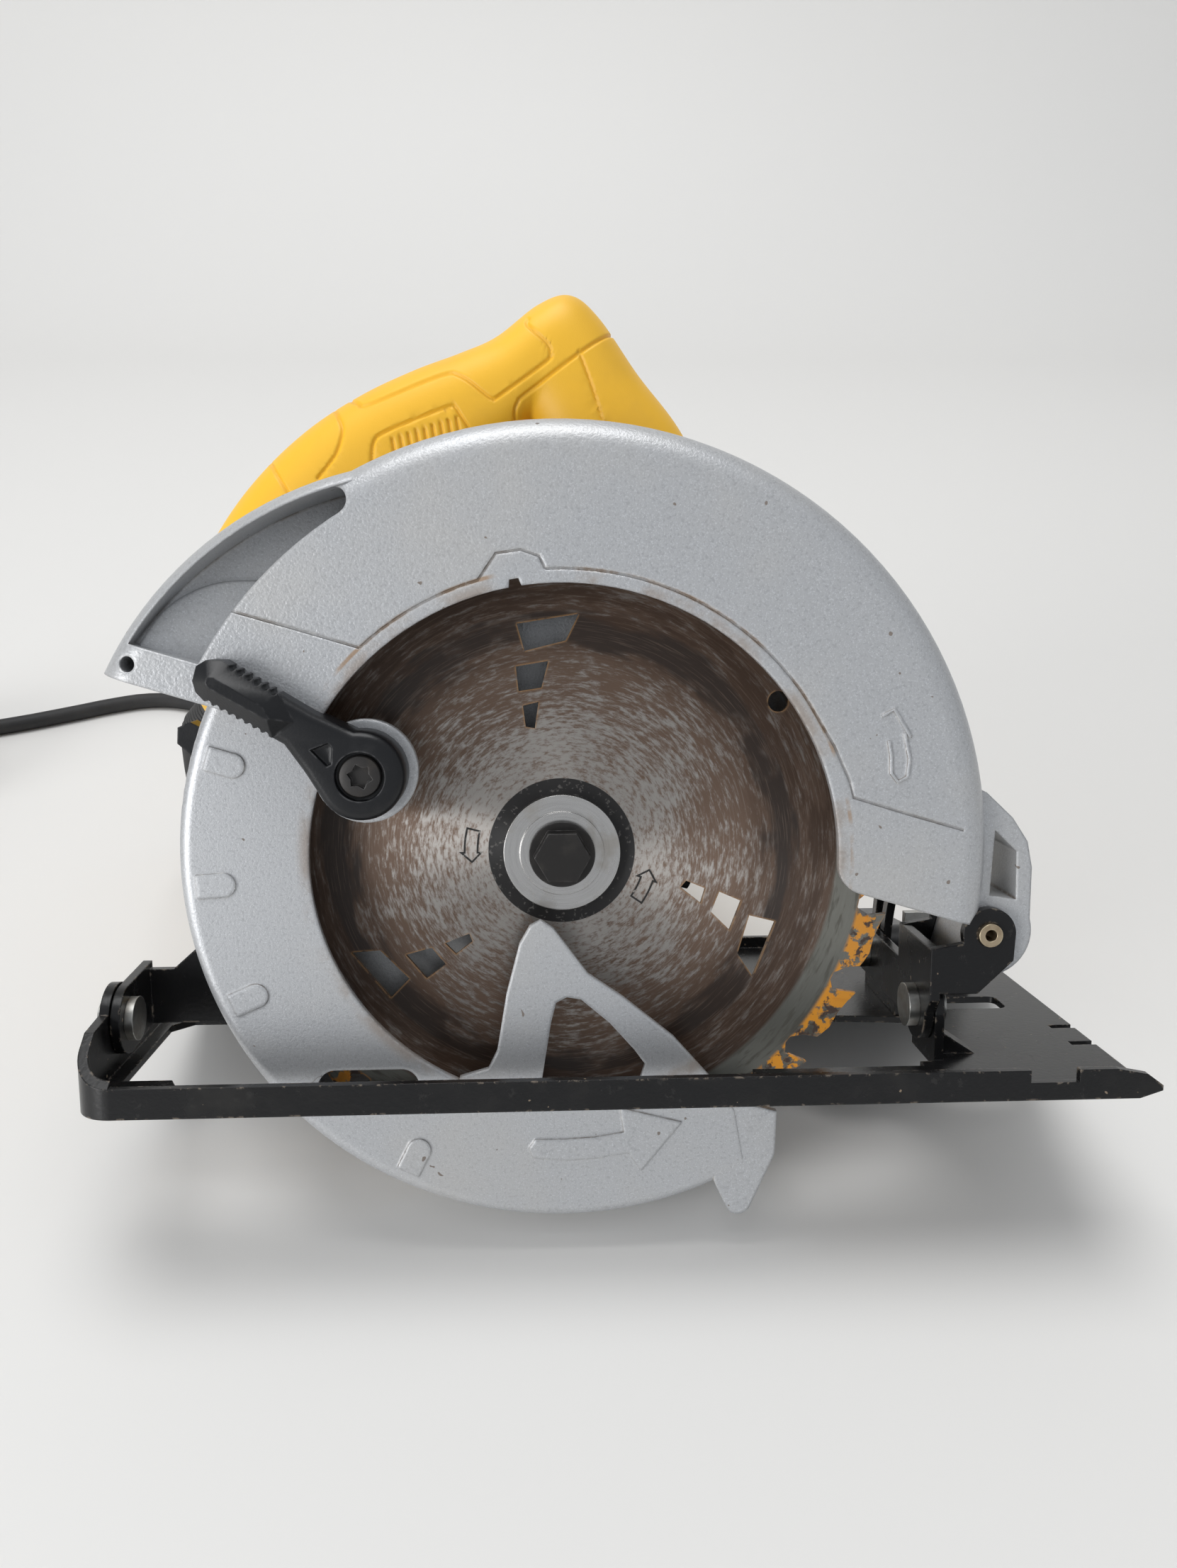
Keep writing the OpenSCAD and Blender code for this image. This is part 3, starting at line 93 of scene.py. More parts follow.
# ---------- sizes and colours that can be changed ----------

def colour(name, description, default):
    return FloatVectorProperty(
        name=name, description=description, subtype="COLOR", size=3, min=0, max=1, default=default)


class SawColours(bpy.types.PropertyGroup):
    """Colours of the saw's finishes"""
    casting: colour("Guard paint", "Silver paint on the cast guards", (0.50, 0.51, 0.525))
    plastic: colour("Yellow plastic", "Moulded handle and motor housing", (0.90, 0.50, 0.028))
    shoe: colour("Shoe paint", "Black paint on the pressed steel", (0.0075, 0.0075, 0.008))
    resin: colour("Resin", "Burnt resin on the blade", (0.027, 0.016, 0.011))


class SawSizes(bpy.types.PropertyGroup):
    """Sizes of the pieces that are made here"""
    lead_diameter: FloatProperty(
        name="Lead diameter", description="Diameter of the mains lead",
        subtype="DISTANCE", unit="LENGTH", default=0.0074, min=0.007, max=0.0078)
    groove_depth: FloatProperty(
        name="Groove depth", description="Depth of the grooves moulded in the handle, in millimetres",
        default=0.75, min=0.2, max=1.2)
    groove_width: FloatProperty(
        name="Groove width", description="Half the width of the handle's grooves, in millimetres",
        default=0.85, min=0.5, max=1.5)
    handle_rows: IntProperty(
        name="Handle rows", description="Rows of points along each span of the handle",
        default=22, min=6, max=30)


# ---------- shading helpers ----------

class Finish:
    """A surface finish, laid on from the ground coat up.

    Its patterns are in millimetres in the drawing that its place stands for.
    """

    def __init__(self, name, colour, roughness, metallic=0.0, place=SAW, **settings):
        self.material = bpy.data.materials.new(name)
        self.material.use_nodes = True
        self.tree = self.material.node_tree
        self.shader = self.tree.nodes["Principled BSDF"]
        self.shader.inputs["Base Color"].default_value = (*colour, 1)
        self.shader.inputs["Roughness"].default_value = roughness
        self.shader.inputs["Metallic"].default_value = metallic
        for key, value in settings.items():
            self.shader.inputs[key.replace("_", " ")].default_value = value
        self.colour = tuple(colour) + (1,)
        self.rough = roughness
        self.metal = metallic
        self.place_m = self.node("TexCoord").outputs["Object"]
        self.at = self.node(
            "Mapping", {"vector_type": "TEXTURE"}, Vector=self.place_m, Location=place.to_translation(),
            Rotation=place.to_euler(), Scale=place.to_scale()).outputs[0]
        self.height = None

    def node(self, kind, options=None, **inputs):
        """Adds a shader node, with each input given as a value or as another node's output"""
        node = self.tree.nodes.new("ShaderNode" + kind)
        for key, value in (options or {}).items():
            setattr(node, key, value)
        for key, value in inputs.items():
            self.feed(node.inputs[key.replace("_", " ")], value)
        return node

    def feed(self, socket, value):
        """Sets an input, or links it to another node's output"""
        if isinstance(value, bpy.types.NodeSocket):
            self.tree.links.new(value, socket)
        else:
            socket.default_value = value

    def maths(self, operation, *values):
        """One step of arithmetic"""
        node = self.node("Math", {"operation": operation})
        for socket, value in zip(node.inputs, values):
            self.feed(socket, value)
        return node.outputs[0]

    def times(self, first, *others):
        """Several masks and shares multiplied"""
        for value in others:
            first = self.maths("MULTIPLY", first, value)
        return first

    def off(self, value, middle):
        """How far a value is from a middle one"""
        return self.maths("ABSOLUTE", self.maths("SUBTRACT", value, middle))

    def vector(self, operation, *values):
        """One step of arithmetic with places or directions"""
        node = self.node("VectorMath", {"operation": operation})
        for socket, value in zip(node.inputs, values):
            self.feed(socket, value)
        return node.outputs["Value" if operation in ("LENGTH", "DOT_PRODUCT") else "Vector"]

    def noise(self, scale, detail=2.0, rough=0.5, vector=None):
        """Cloudy pattern, with scale in lumps per millimetre"""
        return self.node(
            "TexNoise", Vector=vector or self.at, Scale=scale, Detail=detail, Roughness=rough).outputs[0]

    def between(self, value, low, high, to_low=0.0, to_high=1.0):
        """Spreads value's range from low to high over to_low to to_high"""
        return self.node(
            "MapRange", {"interpolation_type": "SMOOTHSTEP"}, Value=value, From_Min=low, From_Max=high,
            To_Min=to_low, To_Max=to_high).outputs[0]

    def patches(self, scale, low, high, detail=2.0, rough=0.5):
        """A cloudy mask: 0 where its noise is under low, 1 where it is over high"""
        return self.between(self.noise(scale, detail, rough), low, high)

    def from_axis(self):
        """The place on the finish's drawing with its Y left out"""
        return self.vector("MULTIPLY", self.at, (1, 0, 1))

    def radius(self):
        """Distance from the Y axis of the finish's drawing"""
        return self.vector("LENGTH", self.from_axis())

    def circling(self, around, across):
        """Coordinates for a pattern that runs round the Y axis, fine across and long around"""
        turn = self.vector("NORMALIZE", self.from_axis())
        rings = self.node("CombineXYZ", Y=self.times(self.radius(), across)).outputs[0]
        return self.vector("ADD", self.vector("MULTIPLY", turn, (around,) * 3), rings)

    def edges(self, radius, samples=6):
        """1 on edges that are sharper than a radius in millimetres, 0 on the flats"""
        rounded = self.node("Bevel", {"samples": samples}, Radius=radius / 1000).outputs[0]
        plain = self.node("NewGeometry").outputs["Normal"]
        return self.between(self.vector("DOT_PRODUCT", rounded, plain), 0.995, 0.88)

    def hollows(self, reach):
        """1 at the bottom of grooves and corners narrower than a reach in millimetres, found by ambient
        occlusion, so it marks where shade falls
        """
        open_sky = self.node("AmbientOcclusion", {"samples": 8, "only_local": True}, Distance=reach / 1000)
        return self.between(open_sky.outputs["AO"], 0.78, 0.50)

    def coat(self, mask, colour, roughness=None, metallic=None, share=None):
        """Lays another colour, roughness and sheen of metal where the mask is 1, or a share of them"""
        if share is not None:
            mask = self.times(mask, share)
        mix = self.node("Mix", {"data_type": "RGBA"})
        self.feed(mix.inputs[0], mask)
        self.feed(mix.inputs[6], self.colour)
        self.feed(mix.inputs[7], tuple(colour) + (1,))
        self.colour = mix.outputs[2]
        if roughness is not None:
            self.rough = self.blend(mask, self.rough, roughness)
        if metallic is not None:
            self.metal = self.blend(mask, self.metal, metallic)
        return self

    def blend(self, mask, under, over):
        """Goes from one number to another as the mask goes from 0 to 1"""
        mix = self.node("Mix")
        self.feed(mix.inputs[0], mask)
        self.feed(mix.inputs[2], under)
        self.feed(mix.inputs[3], over)
        return mix.outputs[0]

    def raise_by(self, pattern, amount):
        """Adds a relief of so many millimetres"""
        relief = self.times(pattern, amount)
        self.height = relief if self.height is None else self.maths("ADD", self.height, relief)
        return self

    def done(self, soften=0.0):
        """Joins everything to the shader; soften is the radius of the rounded edges in millimetres"""
        coats = {"Base Color": self.colour, "Roughness": self.rough, "Metallic": self.metal}
        for key, value in coats.items():
            if isinstance(value, bpy.types.NodeSocket):
                self.feed(self.shader.inputs[key], value)
        normal = None
        if soften:
            normal = self.node("Bevel", {"samples": 6}, Radius=soften / 1000).outputs[0]
        if self.height is not None:
            bump = self.node("Bump", Height=self.height, Strength=1.0, Distance=0.001)
            if normal is not None:
                self.feed(bump.inputs["Normal"], normal)
            normal = bump.outputs[0]
        if normal is not None:
            self.feed(self.shader.inputs["Normal"], normal)
        return self.material


def put_on(finish, *nodes):
    """Gives CAD nodes a finish"""
    for name in nodes:
        for material_slot in NODES[name].material_slots:
            material_slot.material = finish


# ---------- finishes ----------

def silver_paint(name, place, rim, border=None, grain=0.11):
    """Silver paint over a cast skin of a grain, browned at radius rim and in the groove at border"""
    paint = Finish(name, bpy.context.scene.saw_colours.casting, 0.40, 0.50, place)
    skin = paint.noise(1.25, 2.0)
    paint.raise_by(skin, grain)
    paint.raise_by(paint.noise(3.4, 1.0), 0.03)
    flake = paint.patches(2.6, 0.54, 0.68, 2.0, 0.6)
    paint.coat(flake, (0.76, 0.78, 0.81), 0.32, share=0.45)
    # painted shade: the low spots of the cast skin's relief are painted a darker grey
    low_spot_shade = paint.between(skin, 0.48, 0.30)
    paint.coat(low_spot_shade, (0.27, 0.275, 0.29), share=0.30)
    haze = paint.patches(0.018, 0.42, 0.72, 3.0, 0.6)
    paint.coat(haze, (0.50, 0.48, 0.445), 0.5, 0.2, share=0.35)
    broken = paint.patches(0.07, 0.40, 0.62, 4.0, 0.65)
    near_rim = paint.between(paint.off(paint.radius(), rim), 3.4, 0.2)
    paint.coat(paint.times(near_rim, broken), (0.21, 0.135, 0.08), 0.6, 0.0, share=0.5)
    if border:
        in_groove = paint.between(paint.off(paint.radius(), border), 0.75, 0.25)
        stained = paint.times(in_groove, broken)
        paint.coat(stained, (0.30, 0.18, 0.09), 0.7, 0.0, share=0.8)
    # brown dirt and painted shade: darker brown laid wherever ambient occlusion finds a hollow, in grooves
    # and corners alike
    dirt_and_shade = paint.times(paint.hollows(1.6), paint.between(broken, 0.0, 1.0, 0.35, 1.0))
    paint.coat(dirt_and_shade, (0.17, 0.125, 0.085), 0.7, 0.0, share=0.75)
    worn = paint.times(paint.edges(0.8), paint.patches(0.5, 0.50, 0.66, 3.0))
    paint.coat(worn, (0.66, 0.66, 0.65), 0.3, share=0.7)
    speck = paint.patches(0.33, 0.775, 0.795, 1.0)
    paint.coat(speck, (0.14, 0.10, 0.07), 0.7, 0.0, share=0.8)
    return paint.done(1.3)


def black_paint():
    """Satin black paint on pressed steel, chipped to bare and rusty steel along its edges"""
    black = bpy.context.scene.saw_colours.shoe
    paint = Finish("black_paint", black, 0.26, 0.0, SAW, Specular_IOR_Level=0.35)
    paint.raise_by(paint.noise(0.9, 2.0), 0.035)
    dust = paint.patches(0.03, 0.48, 0.80, 4.0, 0.65)
    paint.coat(dust, (0.040, 0.037, 0.033), 0.45, share=0.4)
    rubbed = paint.patches(0.16, 0.60, 0.72, 4.0, 0.7)
    paint.coat(rubbed, (0.05, 0.048, 0.045), 0.4, share=0.3)
    chips = paint.times(paint.edges(1.1), paint.patches(0.42, 0.55, 0.63, 4.0, 0.65))
    paint.coat(chips, (0.20, 0.165, 0.13), 0.45)
    speck = paint.patches(0.5, 0.765, 0.785, 1.0)
    paint.coat(speck, (0.22, 0.17, 0.12), 0.5)
    return paint.done(0.5)


def yellow_plastic(name="yellow_plastic"):
    """Moulded yellow plastic with a fine spark-etched skin"""
    plastic = Finish(name, bpy.context.scene.saw_colours.plastic, 0.46, 0.0, BODY)
    plastic.raise_by(plastic.noise(2.4, 2.0), 0.035)
    grime = plastic.patches(0.03, 0.50, 0.80, 4.0, 0.65)
    plastic.coat(grime, (0.66, 0.36, 0.04), 0.55, share=0.30)
    shade = plastic.patches(0.012, 0.35, 0.7, 2.0)
    plastic.coat(shade, (0.96, 0.60, 0.06), share=0.25)
    return plastic.done(0.6)


def black_plastic(name="black_plastic"):
    """Black glass-filled plastic, scuffed grey where fingers and timber rub it"""
    plastic = Finish(name, (0.0055, 0.006, 0.0075), 0.33, 0.0, SAW, Specular_IOR_Level=0.4)
    plastic.raise_by(plastic.noise(1.6, 3.0), 0.03)
    dust = plastic.patches(0.09, 0.52, 0.80, 4.0, 0.65)
    plastic.coat(dust, (0.030, 0.030, 0.031), 0.5, share=0.4)
    rubbed = plastic.patches(0.35, 0.45, 0.65, 4.0)
    worn = plastic.times(plastic.edges(0.9), rubbed)
    plastic.coat(worn, (0.10, 0.10, 0.104), 0.5, share=0.7)
    return plastic.done(0.5)


def rubber(name="black_rubber"):
    """Dull black rubber with a bloom of dust"""
    skin = Finish(name, (0.016, 0.016, 0.017), 0.62, 0.0, SAW)
    skin.raise_by(skin.noise(1.3, 3.0), 0.02)
    bloom = skin.patches(0.05, 0.40, 0.78, 4.0, 0.65)
    skin.coat(bloom, (0.045, 0.043, 0.041), 0.75, share=0.6)
    return skin.done(0.3)


def turned_steel(name, colour, roughness, place=SAW, tarnish=(0.35, 0.31, 0.26)):
    """Bright steel with fine turning marks round the drawing's Y axis"""
    steel = Finish(name, colour, roughness, 1.0, place)
    marks = steel.noise(1.0, 3.0, 0.6, steel.circling(1.6, 2.6))
    steel.raise_by(marks, 0.02)
    steel.coat(steel.between(marks, 0.35, 0.7), [c * 0.72 for c in colour], share=0.35)
    dull = steel.patches(0.11, 0.46, 0.70, 4.0, 0.6)
    steel.coat(dull, tarnish, roughness + 0.18, share=0.5)
    return steel.done(0.35)


def dull_steel(name, colour, roughness, metallic=1.0, tarnish=(0.22, 0.19, 0.16), soften=0.35):
    """Plain steel, zinc or sintered metal with a mottled skin"""
    steel = Finish(name, colour, roughness, metallic, SAW)
    steel.raise_by(steel.noise(1.4, 3.0, 0.6), 0.02)
    dull = steel.patches(0.14, 0.44, 0.68, 4.0, 0.65)
    steel.coat(dull, tarnish, min(roughness + 0.2, 0.9), share=0.55)
    edge = steel.times(steel.edges(0.6), steel.patches(0.6, 0.40, 0.6, 3.0))
    steel.coat(edge, [min(c * 1.8 + 0.05, 0.9) for c in colour], roughness, share=0.6)
    return steel.done(soften)


def sawn_steel():
    """The blade's plate: brushed round its centre, with burnt resin in rings and painted teeth"""
    steel = Finish("blade_steel", (0.42, 0.395, 0.37), 0.40, 1.0, SAW, Anisotropic=0.9)
    radius = steel.radius()
    hairline = steel.noise(1.0, 2.0, 0.6, steel.circling(5.0, 3.0))
    mottle = steel.noise(1.0, 5.0, 0.70, steel.circling(11.0, 1.0))
    sweep = steel.noise(1.0, 3.0, 0.6, steel.circling(2.2, 0.16))
    patch = steel.noise(0.045, 3.0, 0.6)
    steel.raise_by(hairline, 0.010)
    # a brown film in fine specks, thin at the washer and nearly closed further out
    film = steel.between(radius, 19.0, 52.0, -0.085, 0.075)
    cloud = steel.times(steel.maths("SUBTRACT", patch, 0.5), 0.34)
    level = steel.maths("ADD", steel.maths("ADD", mottle, film), cloud)
    brown = steel.between(level, 0.37, 0.60)
    steel.coat(brown, (0.130, 0.072, 0.042), 0.46, 0.55, share=0.88)
    pale = steel.between(steel.maths("SUBTRACT", hairline, film), 0.50, 0.62)
    steel.coat(pale, (0.48, 0.45, 0.42), 0.30, 1.0, share=0.22)
    # darker resin in streaks from half way out, and thickest in one ring
    outer = steel.between(radius, 46.0, 61.0)
    ragged = steel.maths("ADD", sweep, steel.times(steel.maths("SUBTRACT", mottle, 0.5), 0.5))
    streaks = steel.between(ragged, 0.40, 0.60)
    thickness = steel.maths("ADD", 0.55, steel.times(streaks, 0.4))
    steel.coat(steel.times(outer, thickness), (0.058, 0.033, 0.021), 0.44, 0.35)
    wander = steel.maths("ADD", radius, steel.times(steel.maths("SUBTRACT", sweep, 0.5), 15.0))
    ring = steel.between(steel.off(wander, BURNT_RING_R), 5.2, 2.2)
    thick = steel.between(patch, 0.26, 0.46)
    steel.coat(steel.times(ring, thick), bpy.context.scene.saw_colours.resin, 0.40, 0.1)
    scratch = steel.between(hairline, 0.56, 0.66)
    steel.coat(steel.times(scratch, outer), (0.20, 0.145, 0.11), 0.4, share=0.26)
    # the rim under the teeth stays cleaner
    rim = steel.between(radius, BLADE_RIM_R - 0.8, BLADE_RIM_R + 0.6)
    steel.coat(rim, (0.19, 0.195, 0.175), 0.42, 0.8, share=0.85)
    smear = steel.between(steel.noise(1.0, 3.0, 0.6, steel.circling(7.0, 0.5)), 0.50, 0.64)
    steel.coat(steel.times(rim, smear), (0.06, 0.055, 0.042), 0.55, 0.3, share=0.6)
    # tan crumbs along the edges of the slots
    lip = steel.times(steel.edges(1.1), steel.patches(0.35, 0.34, 0.46, 3.0))
    steel.coat(lip, (0.33, 0.19, 0.085), 0.7, 0.0, share=0.8)
    # orange paint left on the teeth
    teeth = steel.between(radius, TEETH_R - 0.8, TEETH_R + 0.6)
    paint = steel.times(teeth, steel.patches(0.22, 0.44, 0.50, 4.0, 0.6))
    steel.coat(paint, (0.74, 0.30, 0.018), 0.5, 0.0)
    grime = steel.times(teeth, steel.patches(0.33, 0.54, 0.62, 4.0, 0.6))
    steel.coat(grime, (0.07, 0.045, 0.035), 0.7, 0.1)
    # printed ring round the arbor
    printed = steel.between(radius, PRINTED_RING_R - 0.1, PRINTED_RING_R + 0.1, 1.0, 0.0)
    steel.coat(printed, (0.010, 0.009, 0.009), 0.42, 0.0)
    rubbed = steel.times(printed, steel.patches(0.9, 0.60, 0.68, 3.0))
    steel.coat(rubbed, (0.16, 0.15, 0.14), 0.4, share=0.5)
    # light spreads outwards from brush marks that run round the centre
    outwards = steel.vector("SUBTRACT", steel.place_m, BLADE_CENTRE_M)
    steel.feed(steel.shader.inputs["Tangent"], steel.vector("NORMALIZE", outwards))
    return steel.done()


# ---------- shaping helpers ----------

def piece(name, bm, place, finish, body, smooth=True):
    """Makes a finished object of a bmesh that was drawn in millimetres"""
    bmesh.ops.remove_doubles(bm, verts=bm.verts, dist=1e-4)
    bmesh.ops.recalc_face_normals(bm, faces=bm.faces)
    bmesh.ops.transform(bm, matrix=place, verts=bm.verts)
    mesh = bpy.data.meshes.new(name)
    bm.to_mesh(mesh)
    bm.free()
    mesh.materials.append(finish)
    made = bpy.data.objects.new(name, mesh)
    bpy.context.scene.collection.objects.link(made)
    if smooth:
        mesh.shade_smooth()
        mesh.set_sharp_from_angle(angle=radians(35))
    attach(made, body)
    return made


def polar(radius, degrees):
    """X and Z at an angle round the Y axis, from X towards Z"""
    return radius * cos(radians(degrees)), radius * sin(radians(degrees))


def flat(line):
    """Points in the plane across Y, from their x and z"""
    return [Vector((x, 0, z)) for x, z in line]


def facing(x, y, z, back=False, angle=0.0):
    """Stands a drawing's Z axis along -Y at a point, or along +Y for a piece that faces back"""
    return (Matrix.Translation((x, y, z)) @ Matrix.Rotation(-pi / 2 if back else pi / 2, 4, "X")
            @ Matrix.Rotation(angle, 4, "Z"))


def shift(bm, made, vec):
    """Moves the points of what an operator has just made"""
    bmesh.ops.translate(bm, vec=vec, verts=[g for g in made if isinstance(g, bmesh.types.BMVert)])


def join(target, bm, finish_number=0):
    """Adds one mesh to another, with its faces on one of the piece's finishes"""
    for face in bm.faces:
        face.material_index = finish_number
    mesh = bpy.data.meshes.new("joined")
    bm.to_mesh(mesh)
    bm.free()
    target.from_mesh(mesh)
    bpy.data.meshes.remove(mesh)


def loose_object(name, bm):
    """Makes an object of a bmesh as it is"""
    mesh = bpy.data.meshes.new(name)
    bm.to_mesh(mesh)
    bm.free()
    made = bpy.data.objects.new(name, mesh)
    bpy.context.scene.collection.objects.link(made)
    return made


def cut(bm, *cutters):
    """Takes the cutters' shapes out of a mesh, and gives what is left"""
    target = loose_object("blank", bm)
    tools = [loose_object("cutter", cutter) for cutter in cutters]
    for tool in tools:
        modifier = target.modifiers.new("Cut", "BOOLEAN")
        modifier.object = tool
        modifier.solver = "EXACT"
    bpy.context.view_layer.update()
    shaped = target.evaluated_get(bpy.context.evaluated_depsgraph_get())
    left = bmesh.new()
    left.from_mesh(shaped.to_mesh())
    shaped.to_mesh_clear()
    for used in [target] + tools:
        mesh = used.data
        bpy.data.objects.remove(used)
        bpy.data.meshes.remove(mesh)
    return left


def moved(bm, matrix):
    """A mesh, once a matrix has moved it"""
    bmesh.ops.transform(bm, matrix=matrix, verts=bm.verts)
    return bm


def drum(radius, y0, y1, x=0.0, z=0.0, segments=64):
    """A plain round bar along Y, for cutting with"""
    bm = bmesh.new()
    bmesh.ops.create_cone(
        bm, cap_ends=True, segments=segments, radius1=radius, radius2=radius, depth=y1 - y0)
    return moved(bm, Matrix.Translation((x, (y0 + y1) / 2, z)) @ Matrix.Rotation(pi / 2, 4, "X"))


def block(x0, x1, y0, y1, z0, z1):
    """A plain box, for cutting with"""
    bm = bmesh.new()
    bmesh.ops.create_cube(bm, size=1)
    size = Matrix.Diagonal((x1 - x0, y1 - y0, z1 - z0, 1))
    return moved(bm, Matrix.Translation(((x0 + x1) / 2, (y0 + y1) / 2, (z0 + z1) / 2)) @ size)


def round_edges(bm, edges, radius, segments):
    bmesh.ops.bevel(bm, geom=edges, offset=radius, segments=segments, profile=0.5, affect="EDGES",
                    material=-1, clamp_overlap=True)


def prism(outline, y0, y1, soften=0.0, segments=2):
    """A flat piece between two planes across Y, with its edge at y0 rounded"""
    bm = bmesh.new()
    face = bm.faces.new([bm.verts.new((x, y0, z)) for x, z in outline])
    grown = bmesh.ops.extrude_face_region(bm, geom=[face])["geom"]
    shift(bm, grown, (0, y1 - y0, 0))
    bmesh.ops.recalc_face_normals(bm, faces=bm.faces)
    if soften:
        rim = [e for e in bm.edges if all(abs(v.co.y - y0) < 1e-6 for v in e.verts)]
        round_edges(bm, rim, soften, segments)
    return bm


def turned(profile, steps=48, ring=False):
    """A solid turned round Z from a line of radius and height, which ends on the axis or is a ring"""
    bm = bmesh.new()
    corners = [bm.verts.new((r, 0, z)) for r, z in profile]
    following = corners[1:] + corners[:1] if ring else corners[1:]
    edges = [bm.edges.new(pair) for pair in zip(corners, following)]
    bmesh.ops.spin(bm, geom=corners + edges, axis=(0, 0, 1), cent=(0, 0, 0), steps=steps, angle=2 * pi,
                   use_merge=True)
    bmesh.ops.remove_doubles(bm, verts=bm.verts, dist=1e-4)
    bmesh.ops.recalc_face_normals(bm, faces=bm.faces)
    return bm


def screws(head, depth, shank, length, places):
    """Round-headed screws with a six-pointed recess; each place's Z axis points out of a head"""
    body = turned([(0, 0), (head * 0.72, 0), (head * 0.93, -0.3), (head, -0.8), (head, -depth),
                   (shank, -depth), (shank, -length), (0, -length)])
    star = []
    for i in range(12):
        star.append(polar(head * (0.60 if i % 2 else 0.43), 30 * i))
    recess = moved(prism(star, -1, depth * 0.8), Matrix.Rotation(-pi / 2, 4, "X"))
    one = cut(body, recess)
    every = bmesh.new()
    for place in places:
        join(every, moved(one.copy(), place))
    one.free()
    return every


def spline(points, i, t):
    """A point on the smooth curve through points, a share t of the way from point i to the next"""
    a = points[max(i - 1, 0)]
    b = points[i]
    c = points[min(i + 1, len(points) - 1)]
    d = points[min(i + 2, len(points) - 1)]
    return (b + t * (c - a) / 2 + t * t * (a - 2.5 * b + 2 * c - d / 2)
            + t ** 3 * ((d - a) / 2 + 1.5 * (b - c)))


def smooth(points, steps):
    """A smooth line of so many steps between one point and the next"""
    curve = [spline(points, i, k / steps) for i in range(len(points) - 1) for k in range(steps)]
    return curve + [points[-1]]


# ---------- mains lead ----------

EXIT_BODY = Vector((-112, HANDLE_Y + 11, 6))
EXIT_TILT = radians(124)
EXIT_TURN = radians(32)
EXIT_DIR = Vector((-sin(EXIT_TURN) * sin(EXIT_TILT), cos(EXIT_TURN) * sin(EXIT_TILT), cos(EXIT_TILT)))
SLEEVE_LENGTH = 42
BORE_R = 6.05
COIL_CENTRE = (-312, 202)
COIL_R = 41
COIL_START = radians(95)
COIL_TURNS = 7.24
TURN_OUTER = (1, 0, 0, 1, 1, 0, 0, 1, 1)
TURN_LAYER = (0, 0, 1, 1, 2, 2, 3, 3, 3)
CHANGE_SHARE = 0.305
PLUG_R = 11


def change(values, turn, start):
    """A value that changes smoothly from one turn's to the next's, from a share of the turn on"""
    whole = floor(turn)
    share = min(max((turn - whole - start) / CHANGE_SHARE, 0), 1)
    eased = (1 - cos(pi * share)) / 2
    return values[whole] + (values[whole + 1] - values[whole]) * eased


